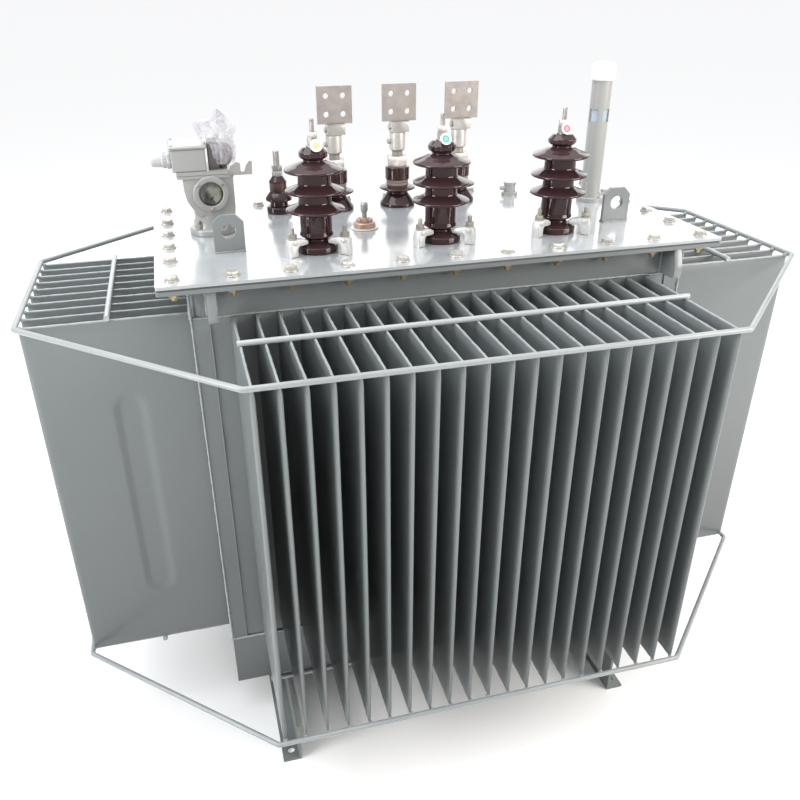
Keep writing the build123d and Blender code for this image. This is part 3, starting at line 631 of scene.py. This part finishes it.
def nut(shape, place, radius, height, twist):
    """Hexagon nut or bolt head with chamfered corners."""
    turns = [twist + math.pi * j / 6 for j in range(12)]
    rings = []
    for ease, z in ((0.90, 0.0), (1.0, 0.12), (1.0, 0.84), (0.90, 1.0)):
        corner = radius * min(1.0, ease + 0.02)
        flat = radius * math.cos(math.pi / 6) * min(1.0, ease + 0.09)
        reach = [flat if j % 2 else corner for j in range(12)]
        ring = [(r * math.cos(a), r * math.sin(a), z * height) for r, a in zip(reach, turns)]
        rings.append([place @ Vector(point) for point in ring])
    shape.skin(rings)


def disc(shape, place, radius, height, ease=0.0005):
    """Washer or thin flange with eased edges."""
    profile = [(radius - ease, 0), (radius, ease), (radius, height - ease), (radius - ease, height)]
    shape.turned(place, profile, 28)


def fastener(shape, place, washer, hexagon, twist):
    """Washer with a nut or bolt head on it, each given as (radius, height)."""
    disc(shape, place, *washer)
    nut(shape, place @ at(0, 0, washer[1]), *hexagon, twist)


cover_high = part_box("cover_plate")[1]
cover_top = cover_high.z
rim_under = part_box("rim_flange")[0].z
bolt_x = cover_high.x - BOLT_IN_X
bolt_y = cover_high.y - BOLT_IN_Y
row = [-bolt_x + 2 * bolt_x * i / (LONG_BOLTS - 1) for i in range(LONG_BOLTS)]
spots = [(x, side * bolt_y) for x in row for side in (-1, 1)]
spots += [(side * bolt_x, y) for y in END_BOLTS_Y for side in (-1, 1)]
thread_end = [(0.0058, 0.008), (0.0058, 0.018), (0.0050, 0.0205), (0.0004, 0.0205)]
heads = Shape()
under = Shape()
chance = random.Random(7)
for x, y in spots:
    fastener(heads, at(x, y, cover_top), WASHER, BOLT_HEAD, chance.uniform(0, 1))
    bottom = at(x, y, rim_under) @ about("X", 180)
    fastener(under, bottom, WASHER, RIM_NUT, chance.uniform(0, 1))
    under.turned(bottom, thread_end, 16)
piece("cover_bolt_heads", heads, zinc_pale)
piece("cover_bolt_nuts", under, zinc_yellow)

# The two lifting lugs are thick plate with a round eye, in the same lighter grey as the hooks,
# and stand on the cover between weld beads along both faces.
dress(lug_paint, "cover_lug_left", "cover_lug_right")
LUG_BEAD = 0.0032
lug_welds = Shape()
for side in ("left", "right"):
    low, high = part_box("cover_lug_" + side)
    for y in (low.y - 0.001, high.y + 0.001):
        foot = steps((low.x, y, low.z + 0.0005), (high.x, y, low.z + 0.0005), 0.005)
        lug_welds.bar(foot, LUG_BEAD, 8, ripple=0.25, seed=5)
piece("lug_welds", lug_welds, lug_paint, sharp=80.0)

# High-voltage bushings: turned porcelain with a thick dark red-brown glaze, soft edges and
# three umbrella sheds, under a brown cap with an eight-sided grip.
glaze, wire, surface = finish("glaze", roughness=0.06, ior=1.45, coat_weight=0.1, coat_roughness=0.03)
# Paler along the sharp rims: partly the glaze running thin over the edges, partly a painted highlight.
thin_glaze_and_highlight = between(wire, wire.node("ShaderNodeNewGeometry", {}, {}, "Pointiness"), 0.50, 0.60)
body = mix(wire, mottle(wire, 25.0), (0.018, 0.0052, 0.0062, 1), (0.032, 0.0090, 0.0102, 1))
body = mix(wire, thin_glaze_and_highlight * 0.7, body, (0.19, 0.105, 0.100, 1))
dusty = upward(wire) * (0.04 + 0.22 * mottle(wire, 12.0))
link(mix(wire, dusty, body, (0.15, 0.105, 0.115, 1)), surface, "Base Color")
link(0.03 + mottle(wire, 14.0) * 0.06, surface, "Roughness")
bump(wire, mottle(wire, 60.0, 2.0), 0.0002, surface)


def millimetres(profile):
    """Points and corner radii given in millimetres, taken to metres."""
    return [tuple(v / 1000 for v in point) for point in profile]


def lathe(shape, place, profile, sides):
    """Turn a profile in millimetres, with its corners eased, about the Z axis of place."""
    shape.turned(place, millimetres(eased(profile)), sides)
    return shape


def three_on_cover(node, rim):
    """Places on the cover under three like bushings, whose widest radius is rim."""
    low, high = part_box(node)
    y = (low.y + high.y) / 2
    first, last = low.x + rim, high.x - rim
    return [at(x, y, cover_top) for x in (first, (first + last) / 2, last)]


HV_RIM = 0.0595
hv_places = three_on_cover("hv_bushings", HV_RIM)
hv_profile = [(42, 0, 1), (44, 3, 2), (44, 13, 2.5), (37, 17, 2), (27, 21, 2), (24, 24, 2), (24, 28, 2)]
hv_profile += [(33, 31, 2), (35, 34, 1.5), (34, 37, 1), (32.5, 40, 2)]
for rim in (84, 121, 161):
    hv_profile += [(32.5, rim - 3, 2), (48, rim - 1.5, 4), (56.5, rim - 3.5, 1.5), (59.5, rim - 1, 1.2)]
    hv_profile += [(59, rim + 1.8, 1.2), (50, rim + 6, 8), (40, rim + 9.5, 6), (33, rim + 13, 3)]
hv_profile += [(26, 177, 3), (20, 178, 1), (20, 182, 0.5), (3, 182)]
hv_bodies = Shape()
for place in hv_places:
    lathe(hv_bodies, place, hv_profile, 72)
piece("hv_porcelain", hv_bodies, glaze, ("hv_bushings",), sharp=60.0)

HV_CAP_POINTS = 96
HV_GRIP_LOW = 0.183
HV_GRIP_HIGH = 0.201
EIGHTH = math.pi / 8
cap_profile = [(19, 180, 1), (21, 181.5, 1), (27, 184.5, 1), (29, 187, 1), (29, 194.5, 1), (27.5, 196, 1)]
cap_profile += [(20.5, 202.8, 1), (18.5, 204, 1), (6, 204)]
caps = Shape()
for place in hv_places:
    rows = []
    for r, z in millimetres(eased(cap_profile)):
        ring = []
        for a in circle(HV_CAP_POINTS):
            flat = math.cos(EIGHTH) / math.cos((a + EIGHTH) % (2 * EIGHTH) - EIGHTH)
            grip = 0.25 + 0.75 * max(flat, 0.955) if HV_GRIP_LOW < z < HV_GRIP_HIGH else 1.0
            reach = r * grip
            ring.append(place @ Vector((reach * math.cos(a), reach * math.sin(a), z)))
        rows.append(ring)
    caps.skin(rows)
piece("hv_cap_mouldings", caps, glaze, ("hv_caps",), sharp=50.0)

# Each high-voltage bushing ends in a zinc-plated threaded stud, which a washer and two nuts
# hold in its cap. The wire would go between the nuts.
zinc_bright = metal("zinc_bright", (0.48, 0.45, 0.43), (0.35, 0.32, 0.30), 0.34, 0.75)
STUD_FOOT = 0.204
STUD_TOP = 0.256
STUD_R = 0.0050
STUD_WASHER = (0.013, 0.003)
STUD_NUT = (0.0108, 0.0124)
UPPER_NUT = 0.2195
studs = Shape()


def thread(shape, place, radius, z0, z1, pitch=0.0018):
    """Threaded stud end with a chamfered tip."""
    profile = []
    z = z0
    while z < z1 - 0.002:
        profile += [(radius - 0.0007, z), (radius, z + pitch / 2)]
        z += pitch
    profile += [(radius - 0.0005, z1 - 0.0015), (radius - 0.0016, z1), (0.0004, z1)]
    shape.turned(place, profile, 20)


for i, place in enumerate(hv_places):
    fastener(studs, place @ at(0, 0, STUD_FOOT), STUD_WASHER, STUD_NUT, math.pi / 6)
    nut(studs, place @ at(0, 0, UPPER_NUT), *STUD_NUT, 0.3 + i)
    thread(studs, place, STUD_R, 0.206, STUD_TOP)
piece("hv_studs", studs, zinc_bright, ("hv_terminals",))

# Three cast clamps hold each foot down: a leg on the cover and a rounded arm over the foot's
# shoulder, pulled tight by a stud with a washer and a nut.
cast = metal("cast", (0.64, 0.64, 0.63), (0.52, 0.52, 0.51), 0.42, 0.35, 500.0)
clamp_outline = [(31, 20.2, 1), (36, 19.4, 2), (46, 19.5, 3), (56, 20.5, 3), (59, 14, 3), (59, 0.3)]
clamp_outline += [(78, 0.3), (78, 22, 3), (76, 34, 3), (72, 36, 1.5), (58, 36, 3), (50, 34.5, 4)]
clamp_outline += [(41, 33, 3), (31, 27, 3)]
ear_profile = [(5.5, 0), (5.5, 2.5), (4.2, 3.6), (0.4, 3.6)]
CLAMP_TURNS = (213.0, 319.0, 86.0)
CLAMP_WIDE = 0.018
EAR = (0.067, 0.0085, 0.030)
CLAMP_STUD_OUT = 0.066
CLAMP_TOP = 0.036
CLAMP_WASHER = (0.0095, 0.002)
CLAMP_NUT = (0.0092, 0.008)
CLAMP_STUD_R = 0.0048
clamps = Shape()
clamp_nuts = Shape()
for foot in hv_places:
    for angle in CLAMP_TURNS:
        place = foot @ about("Z", angle)
        clamps.plate(place, eased(millimetres(clamp_outline), 3), CLAMP_WIDE, 0.0018)
        for ear in (-1, 1):
            lug = place @ at(EAR[0], ear * EAR[1], EAR[2]) @ about("X", -90 * ear)
            lathe(clamps, lug, ear_profile, 16)
        top = place @ at(CLAMP_STUD_OUT, 0, CLAMP_TOP)
        fastener(clamp_nuts, top, CLAMP_WASHER, CLAMP_NUT, angle)
        thread(clamp_nuts, top, CLAMP_STUD_R, 0.009, 0.022)
piece("hv_clamp_castings", clamps, cast, ("hv_clamps",), sharp=45.0)
old_zinc = metal("old_zinc", (0.44, 0.42, 0.37), (0.30, 0.27, 0.22), 0.36, 0.6)
piece("hv_clamp_nuts", clamp_nuts, old_zinc)

# A round enamelled tag on each phase leans on its cap: a white raised rim, a thin coloured ring
# and a paler coloured middle.
TAG_MIDDLE = (0.0046, 0.0053)
TAG_RING = (0.0071, 0.0076)
tag_profile = [(0.4, -0.5), (11.7, -0.5), (12.1, -0.1, 0.3), (12.1, 0.9, 0.3), (11.5, 1.2, 0.3)]
tag_profile += [(10.7, 0.5), (0.4, 0.5)]


def distance(wire, point):
    """Distance of the surface from a point."""
    ends = {0: wire.node("ShaderNodeTexCoord", {}, {}, "Object"), 1: point}
    return wire.node("ShaderNodeVectorMath", {"operation": "DISTANCE"}, ends, "Value")


def tag(name, colour, ring, bushing, off, lean):
    """Tag at an offset from its bushing's foot, leaning back by some degrees."""
    made, wire, surface = finish("tag_" + name, roughness=0.22, coat_weight=0.5)
    place = bushing @ at(*off) @ about("X", lean)
    away = distance(wire, place.translation)
    inner = mix(wire, between(wire, away, *TAG_MIDDLE), (*colour, 1), (*ring, 1))
    face = mix(wire, between(wire, away, *TAG_RING), inner, (0.80, 0.80, 0.78, 1))
    link(mix(wire, mottle(wire, 300.0) * 0.12, face, (0.5, 0.5, 0.48, 1)), surface, "Base Color")
    bump(wire, mottle(wire, 500.0), 0.0001, surface)
    disc_shape = lathe(Shape(), place, tag_profile, 40)
    piece("tag_disc_" + name, disc_shape, made, ("phase_tag_" + name,))


tag("yellow", (0.52, 0.49, 0.29), (0.58, 0.52, 0.31), hv_places[0], (0.003, -0.0222, 0.2092), 62.0)
tag("green", (0.16, 0.56, 0.46), (0.05, 0.36, 0.29), hv_places[1], (0.0, -0.0222, 0.2092), 62.0)
tag("red", (0.66, 0.30, 0.36), (0.44, 0.07, 0.12), hv_places[2], (0.0, -0.0158, 0.2159), 65.0)

# Low-voltage bushings: a porcelain bell with one shed, a grooved rubber seal, a brown collar,
# a zinc nut and a tinned clamp terminal with a four-hole flag and two side bolts.
LV_RIM = 0.0445
lv_places = three_on_cover("lv_bushings", LV_RIM)
bell_profile = [(41, 0, 1), (43, 1.5, 1), (43, 7, 1), (41, 9, 1), (26, 30, 2), (25, 32, 1), (26, 35, 2)]
bell_profile += [(41, 39, 2), (44.5, 41.5, 1), (43.5, 44, 1.5), (33, 47.5, 3), (27, 49, 1), (3, 49)]
seal_profile = [(26, 49), (27, 50, 1), (27, 55, 1), (25, 56), (27, 57, 1), (27, 62, 1), (26, 63), (3, 63)]
collar_profile = [(28.5, 63, 1), (29.5, 64, 1), (29.5, 91.5, 1.5), (28, 93, 1), (3, 93)]
LV_COLLAR_TOP = 0.093
LV_NUT = (0.026, 0.025)
SIDE_BOLTS = ((0.184, -0.016), (0.152, -0.0185))
SIDE_WASHER = (0.0075, 0.0015)
SIDE_HEAD = (0.0066, 0.005)
bells = Shape()
seals = Shape()
collars = Shape()
lv_nuts = Shape()
lv_bolts = Shape()
for i, place in enumerate(lv_places):
    lathe(bells, place, bell_profile, 64)
    lathe(seals, place, seal_profile, 48)
    lathe(collars, place, collar_profile, 48)
    nut(lv_nuts, place @ at(0, 0, LV_COLLAR_TOP), *LV_NUT, 0.35)
    for z, x in SIDE_BOLTS:
        side = place @ at(x, -0.001, z) @ about("Y", -90)
        fastener(lv_bolts, side, SIDE_WASHER, SIDE_HEAD, 0.5 + i)
piece("lv_porcelain", bells, glaze, ("lv_bushings",), sharp=60.0)
seal_rubber = moulded("seal_rubber", (0.31, 0.245, 0.23), (0.23, 0.175, 0.165), 0.45, 60.0, 300.0, 0.0003)
piece("lv_seal_rings", seals, seal_rubber, ("lv_seals",), sharp=50.0)
piece("lv_collar_rings", collars, glaze, ("lv_collars",), sharp=50.0)
piece("lv_big_nuts", lv_nuts, zinc_bright, ("lv_nuts",))
piece("lv_side_bolts", lv_bolts, zinc_pale)
tin = metal("tin", (0.40, 0.362, 0.335), (0.33, 0.295, 0.27), 0.44, 0.4, 150.0)
dress(tin, "lv_terminal_1", "lv_terminal_2", "lv_terminal_3")
# The clamp blocks and barrels take a paler copy of the tin: a painted highlight.
lit_tin = metal("lit_tin", (0.66, 0.63, 0.60), (0.50, 0.47, 0.44), 0.30, 0.5, 200.0)
blocks = Shape()
block_outline = [(-17.5, 174), (-17.5, 197, 1), (27, 197, 1), (27, 182, 4)]
block_outline += [(20, 172.5, 4), (-12, 172.5, 4)]
barrel_profile = [(12, 132), (18, 132, 1), (19, 134, 1), (19, 171, 1), (12, 172)]
for place in lv_places:
    blocks.plate(place @ at(0, -0.001, 0), eased(millimetres(block_outline)), 0.030, 0.0016)
    lathe(blocks, place, barrel_profile, 48)
piece("lv_clamp_blocks", blocks, lit_tin)

# The neutral bushing is a small one of the same porcelain, with a conical cap and a thick plated
# stud under two nuts.
def on_cover(node):
    """Place on the cover under the middle of a node."""
    low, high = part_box(node)
    return at((low.x + high.x) / 2, (low.y + high.y) / 2, cover_top)


neutral = on_cover("neutral_bushing")
neutral_profile = [(28, 0, 1), (30, 2, 2), (30, 13, 2), (27, 16, 2), (22, 17, 1), (21, 19, 1)]
neutral_profile += [(20.5, 28, 1), (30, 29, 2), (31.6, 31, 1.5), (31.6, 34, 1.5), (26, 43, 6)]
neutral_profile += [(20.5, 49, 2), (20.5, 70), (3, 70)]
body = lathe(Shape(), neutral, neutral_profile, 56)
piece("neutral_porcelain", body, glaze, ("neutral_bushing",), sharp=60.0)
cone = [(20.5, 70), (21.2, 72, 1), (19.5, 75, 1), (12.5, 85, 1), (12, 86), (1, 86)]
piece("neutral_cap", lathe(Shape(), neutral, cone, 40), glaze, sharp=60.0)
NEUTRAL_NUT = (0.013, 0.0115)
NEUTRAL_NUT_LEVELS = (0.086, 0.0977)
NEUTRAL_STUD_R = 0.0075
neutral_stud = Shape()
for z, twist in zip(NEUTRAL_NUT_LEVELS, (0.2, 0.6)):
    nut(neutral_stud, neutral @ at(0, 0, z), *NEUTRAL_NUT, twist)
thread(neutral_stud, neutral, NEUTRAL_STUD_R, 0.107, 0.143, 0.002)
piece("neutral_stud", neutral_stud, zinc_bright, ("neutral_terminal",))

# The pressure relief valve is a stepped copper-coloured body with notches round its top ring, on
# a thin pale flange, with a dull steel knob on its stem.
valve = on_cover("pressure_relief_valve")
brass = metal("brass", (0.61, 0.43, 0.365), (0.48, 0.32, 0.265), 0.38, 0.55)
steel = metal("steel", (0.46, 0.44, 0.42), (0.34, 0.33, 0.31), 0.40, 0.6)
valve_profile = [(20, 2.5), (24, 2.5), (24.6, 4, 1), (24.6, 13, 1), (22.5, 15, 1), (13, 15), (13, 3)]
valve_body = lathe(Shape(), valve, valve_profile, 48)
tooth_outline = millimetres([(-7.2, -4), (7.2, -4), (6.2, 3.6), (-6.2, 3.6)])
TEETH = 6
TOOTH_OUT = 0.0145
TOOTH_UP = 0.0185
TOOTH_T = 0.0062
for j in range(TEETH):
    tooth = valve @ about("Z", 360 / TEETH * (j + 0.3)) @ at(TOOTH_OUT, 0, TOOTH_UP) @ about("Z", 90)
    valve_body.plate(tooth, tooth_outline, TOOTH_T, 0.0008)
nut(valve_body, valve @ at(0, 0, 0.014), 0.0105, 0.010, 0.4)
piece("valve_turned", valve_body, brass, ("pressure_relief_valve",), sharp=50.0)
stem_profile = [(4, 14), (6, 14), (5.6, 22), (5.6, 36, 0.5), (7.6, 37.5, 1), (8, 41, 1), (8, 54, 3)]
stem_profile += [(6, 58, 2), (0.5, 58.4)]
piece("valve_stem", lathe(Shape(), valve, stem_profile, 28), steel, sharp=50.0)
valve_flange = Shape()
disc(valve_flange, valve, 0.031, 0.003, 0.0008)
ivory = paint("ivory", (0.66, 0.67, 0.58), (0.58, 0.60, 0.50), 0.35, coat=0.2, peel=0.0001)
piece("valve_flange", valve_flange, ivory)

# Pale painted fittings: the thermometer pocket, and the oil gauge's base and tube. Four small
# bolts hold the gauge's base.
pale_paint = paint("pale_paint", (0.312, 0.312, 0.300), (0.355, 0.355, 0.342), 0.32, 0.3, 0.00012)
dress(pale_paint, "thermometer_pocket", "oil_gauge_base", "oil_gauge_tube")
small_bolts = Shape()
gauge = on_cover("oil_gauge_base")
GAUGE_BOLT_OUT = 0.0295
GAUGE_BASE_TOP = 0.010
for angle in (20, 110, 200, 290):
    spot = gauge @ about("Z", angle) @ at(GAUGE_BOLT_OUT, 0, GAUGE_BASE_TOP)
    nut(small_bolts, spot, 0.0034, 0.003, angle)
piece("gauge_base_bolts", small_bolts, zinc_pale)

# Two curved panes show a blue float on its rod through the gauge's windows, and a milky
# moulded cap closes the top.
pane, wire, surface = finish("pane", roughness=0.05)
surface.inputs["Base Color"].default_value = (0.80, 0.88, 0.93, 1)
link(0.28 + mottle(wire, 80.0) * 0.12, surface, "Alpha")
link(0.03 + mottle(wire, 50.0) * 0.06, surface, "Roughness")
dress(pane, "oil_gauge_window_front", "oil_gauge_window_side")
blue = moulded("float_blue", (0.05, 0.20, 0.42), (0.09, 0.28, 0.52), 0.3, 90.0, 300.0, 0.0002)
dress(blue, "oil_gauge_float")
float_profile = [(2, 189), (15.5, 189), (16.5, 190), (16.5, 213), (15.5, 214), (2, 214)]
piece("gauge_float_drum", lathe(Shape(), gauge, float_profile, 36), blue)
milky, wire, surface = finish("milky", roughness=0.35, coat_weight=0.2)
link(mix(wire, mottle(wire, 30.0), (0.86, 0.86, 0.84, 1), (0.78, 0.78, 0.76, 1)), surface, "Base Color")
link(0.72 + mottle(wire, 25.0) * 0.2, surface, "Alpha")
bump(wire, mottle(wire, 200.0), 0.0002, surface)
dome = [(25, 281, 1), (28, 281, 1), (29, 283, 1), (29, 306, 5), (27.5, 313, 5), (21, 319.5, 5)]
dome += [(8, 321, 4), (0.5, 321)]
gauge_cap = lathe(Shape(), gauge, dome, 56)
piece("gauge_cap_moulding", gauge_cap, milky, ("oil_gauge_cap",), sharp=60.0)

# Protection relay: a painted casting with a rounded body on a flanged neck, and a round sight
# glass under a screwed ring in front.
relay = on_cover("relay_flange")
flange_profile = [(47.5, 0, 0.5), (49, 1.5, 1), (49, 12, 2), (46.5, 14, 1), (3, 14)]
flange = lathe(Shape(), relay, flange_profile, 56)
piece("relay_flange_casting", flange, pale_paint, ("relay_flange",))
body_outline = [(-52.5, 130), (-52.5, 96, 14), (-48, 74, 14), (-37, 58, 8), (-31, 42, 5), (34, 42, 5)]
body_outline += [(48, 22, 4), (52.5, 60, 10), (52.5, 130)]
neck_profile = [(40, 14, 1), (39, 16, 2), (36, 24, 6), (36, 60, 2), (3, 60)]
casting = Shape()
casting.plate(relay @ at(0, 0.001, 0), eased(millimetres(body_outline)), 0.072, 0.003)
lathe(casting, relay, neck_profile, 48)
front = relay @ at(0.003, -0.035, 0.090) @ about("X", 90)
bezel = [(25.5, -2), (25.5, 6, 1), (27, 7, 1), (35.5, 7, 1.5), (37.5, 5, 1), (37.5, -1)]
casting.turned(front, millimetres(eased(bezel)), 64, caps=False)
piece("relay_casting", casting, pale_paint, ("relay_body",), sharp=42.0)

RING_SCREW_OUT = 0.0315
RING_FACE = 0.007
screw_profile = [(3.6, 0), (3.6, 1.6), (2.8, 2.4), (0.5, 2.4)]
screws = Shape()
for angle in (38, 142, 270):
    spot = front @ about("Z", angle) @ at(RING_SCREW_OUT, 0, RING_FACE)
    lathe(screws, spot, screw_profile, 16)
piece("relay_ring_screws", screws, old_zinc)
FLANGE_NUT_OUT = 0.0405
FLANGE_TOP = 0.014
FLANGE_WASHER = (0.0085, 0.002)
FLANGE_NUT = (0.0076, 0.0085)
FLANGE_STUD_R = 0.0044
flange_nuts = Shape()
for angle in (222, 318, 42, 138):
    spot = relay @ about("Z", angle) @ at(FLANGE_NUT_OUT, 0, FLANGE_TOP)
    fastener(flange_nuts, spot, FLANGE_WASHER, FLANGE_NUT, angle)
    thread(flange_nuts, spot, FLANGE_STUD_R, 0.009, 0.018)
piece("relay_flange_nuts", flange_nuts, pale_paint)

# The sight glass is one thick round pane. Behind it the relay's float and bracket show as a murky
# pale shape, painted on the pane over painted shade of the relay's dim inside, darkest in a ring
# at the edge.
murky, wire, surface = finish("murky_glass", roughness=0.08, coat_weight=1.0, coat_roughness=0.02)
glass_low, glass_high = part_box("relay_sight_glass")
away = distance(wire, (glass_low + glass_high) / 2)
shapes = between(wire, mottle(wire, 42.0, 3.0), 0.42, 0.66)
# The dark ground and the dark ring round the edge are painted shade inside the relay.
tone = mix(wire, shapes, (0.075, 0.07, 0.055, 1), (0.27, 0.26, 0.22, 1))
tone = mix(wire, between(wire, mottle(wire, 90.0, 2.0), 0.55, 0.62), tone, (0.04, 0.04, 0.03, 1))
link(mix(wire, between(wire, away, 0.0205, 0.0225), tone, (0.03, 0.032, 0.028, 1)), surface, "Base Color")
link(0.08 + shapes * 0.25, surface, "Roughness")
dress(murky, "relay_sight_glass")

# A painted plate with a notched, plated clip closes the relay on a cream gasket. It carries the
# terminal box, which has a screwed lid.
dress(pale_paint, "relay_top_plate")
dress(zinc_bright, "relay_clip")
plate_low, plate_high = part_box("relay_top_plate")
cream = moulded("cream_gasket", (0.42, 0.39, 0.31), (0.30, 0.28, 0.23), 0.6, 90.0, 400.0, 0.0002)
for name, material, slack, top, thick in (
    ("relay_gasket", cream, 0.0015, 0.0, 0.0016),
    ("relay_body_flange", pale_paint, 0.0, 0.0016, 0.0055),
):
    x0, x1 = plate_low.x + slack, plate_high.x - slack
    y0, y1 = plate_low.y + slack, plate_low.y + 0.078
    z = plate_low.z - top
    corners = [(x1, y1), (x0, y1, 0.008), (x0, y0, 0.008), (x1, y0, 0.008), (x1, y1, 0.008), (x0, y1)]
    outline = eased(corners)[1:-1]
    shape = Shape()
    shape.skin([[Vector((x, y, level)) for x, y in outline] for level in (z - thick, z)])
    piece(name, shape, material)


def eased_box(shape, node, edge):
    """Box of a node's size with rounded upright corners and eased edges."""
    low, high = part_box(node)
    x0, x1, y0, y1 = low.x, high.x, low.y, high.y
    corners = [(x0, y0), (x1, y0), (x1, y1), (x0, y1)]
    outline = eased([(*corners[-1],)] + [(*c, edge * 2) for c in corners] + [(*corners[0],)])[1:-1]
    inner = inset(outline, edge)
    rows = [(inner, low.z), (outline, low.z + edge), (outline, high.z - edge), (inner, high.z)]
    shape.skin([[Vector((x, y, z)) for x, y in level] for level, z in rows])


box = Shape()
eased_box(box, "relay_terminal_box", 0.002)
piece("relay_box_moulding", box, pale_paint, ("relay_terminal_box",))
lid = Shape()
eased_box(lid, "relay_box_lid", 0.003)
lid_low, lid_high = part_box("relay_box_lid")
piece("relay_lid_moulding", lid, pale_paint, ("relay_box_lid",))
LID_SCREW_IN = 0.007
lid_screws = Shape()
for x in (lid_low.x + LID_SCREW_IN, lid_high.x - LID_SCREW_IN):
    for y in (lid_low.y + LID_SCREW_IN, lid_high.y - LID_SCREW_IN):
        spot = at(x, y, lid_high.z - 0.0005)
        lathe(lid_screws, spot, [(3.4, 0), (3.4, 1.8), (2.6, 2.6), (0.5, 2.6)], 16)
piece("relay_lid_screws", lid_screws, zinc_bright)

# The cable gland is grey nylon: a hexagon foot screwed into the box's left side, and a ribbed
# dome nut that would close round a cable.
nylon = paint("nylon", (0.48, 0.485, 0.48), (0.53, 0.535, 0.53), 0.42, coat=0.0, peel=0.0001)
low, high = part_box("relay_cable_gland")
middle = (low + high) / 2
gland_place = at(high.x, middle.y, middle.z) @ about("Y", -90)
gland = Shape()
nut(gland, gland_place, 0.018, 0.009, 0.3)
dome = [(15, 9, 1), (15, 18, 1), (13.5, 20, 1), (13, 34, 3), (11, 41, 2), (8, 42, 1)]
dome += [(7.5, 38), (0.5, 38)]
lathe(gland, gland_place, dome, 40)
GLAND_RIBS = 16
GLAND_RIB_AT = 0.0149
for a in circle(GLAND_RIBS):
    x, y = GLAND_RIB_AT * math.cos(a), GLAND_RIB_AT * math.sin(a)
    rib = [gland_place @ Vector((x, y, z)) for z in (0.010, 0.0175)]
    gland.bar(rib, 0.0011, 6)
piece("relay_gland_moulding", gland, nylon, ("relay_cable_gland",))

# Beside the box stands a dark switch case of moulded plastic, with ribs across it and a round
# dial head on a short post.
black = moulded("dial_black", (0.10, 0.082, 0.08), (0.16, 0.135, 0.13), 0.38, 70.0, 500.0, 0.0002)
CASE_RIBS = 6
CASE_PITCH = 0.0076
case = Shape()
rib_outline = eased(millimetres([(6, 137), (6, 194, 4), (27, 196, 4), (27, 137)]), 3)
for j in range(CASE_RIBS):
    case.plate(relay @ at(0, -0.018 + j * CASE_PITCH, 0), rib_outline, 0.0062, 0.0012)
core = millimetres([(8, 137), (8, 192), (25, 194), (25, 137)])
case.plate(relay @ at(0, 0.001, 0), core, 0.042, 0.001)
drum = relay @ at(0.036, -0.004, 0.165) @ about("Z", 40) @ about("X", 90)
drum_profile = [(22, -10, 1), (24, -9, 1), (24, 7, 1), (23, 9, 1), (21, 10, 1), (20.5, 8.5), (0.5, 8.5)]
lathe(case, drum, drum_profile, 48)
lathe(case, relay @ at(0.036, -0.004, 0), [(8, 137), (8, 161)], 24)
piece("relay_dial_case", case, black, ("relay_dial",))

# A crumpled bag of clear film is pulled over the dial and gathered round its foot. The bag's left
# and right edges, as seen from the front, and its depth are outlines over height in millimetres.
film, wire, surface = finish("film", roughness=0.10)
creases = between(wire, mottle(wire, 26.0, 3.0), 0.42, 0.62)
streaks = between(wire, mottle(wire, 26.0, 3.0, (1, 1, 0.3)), 0.42, 0.62)
# Painted shade: the film is drawn dark violet in its hollow folds.
sharp = between(wire, wire.node("ShaderNodeNewGeometry", {}, {}, "Pointiness"), 0.42, 0.50)
tone = mix(wire, streaks, (0.50, 0.485, 0.55, 1), (0.74, 0.735, 0.76, 1))
link(mix(wire, sharp, (0.36, 0.345, 0.42, 1), tone), surface, "Base Color")
link(0.34 + creases * 0.26, surface, "Alpha")
link(0.08 + creases * 0.2, surface, "Roughness")
bump(wire, mottle(wire, 30.0, 2.0), 0.0008, surface)
FILM_LEFT = ((147, 13), (176, 11), (190, 6), (194, -6), (231, -19), (235, 6), (238, 22), (255, 31))
FILM_RIGHT = ((147, 58), (158, 65), (184, 66), (194, 61), (217, 71), (236, 55), (255, 36))
FILM_DEPTH = ((147, 26), (170, 33), (192, 30), (215, 24), (236, 15), (255, 3))
FILM_MIDDLE = 0.001
FILM_FOOT = 147.5
FILM_STEP = 2.5
FILM_ROWS = 44
FILM_ROUND = 110
FILM_SQUARE = 2.6
FILM_SLACK = 0.0068
BROAD_FOLD = 0.0050
FINE_FOLD = 0.0028
CRUMPLE = 0.0042


def at_height(outline, z):
    """Value of an outline of (height, value) points at a height."""
    for (z0, low_value), (z1, high_value) in zip(outline, outline[1:]):
        if z <= z1:
            return low_value + (high_value - low_value) * max(0.0, z - z0) / (z1 - z0)
    return outline[-1][1]


def crease(value):
    """Wave with sharp ridges, from 0 to 1."""
    return abs((value % 1.0) * 2 - 1)


bag = Shape()
rows = []
for step in range(FILM_ROWS):
    z = FILM_FOOT + FILM_STEP * step
    left, right = at_height(FILM_LEFT, z), at_height(FILM_RIGHT, z)
    deep = at_height(FILM_DEPTH, z)
    ring = []
    for a in circle(FILM_ROUND):
        c, s = math.cos(a), math.sin(a)
        full = 1 / (abs(c) ** FILM_SQUARE + abs(s) ** FILM_SQUARE) ** (1 / FILM_SQUARE)
        flat = Vector(((left + right) / 2 + (right - left) / 2 * c * full, deep * s * full, z)) / 1000
        drift = noise.noise(flat * 22) * 0.8
        fold = crease(a * 1.1 + drift + z * 0.006) * BROAD_FOLD
        fold += crease(a * 2.3 - z * 0.011 - drift) * FINE_FOLD
        cells = noise.voronoi(flat * 34)[0]
        fold += min(0.8, cells[0]) * CRUMPLE
        inward = Vector((c * 0.35, s, 0.0)) * (FILM_SLACK - fold)
        ring.append(relay @ (flat - inward + Vector((0, FILM_MIDDLE, 0))))
    rows.append(ring)
bag.skin(rows, caps=False)
wrap = piece("relay_film_bag", bag, film, ("relay_film",), sharp=35.0)
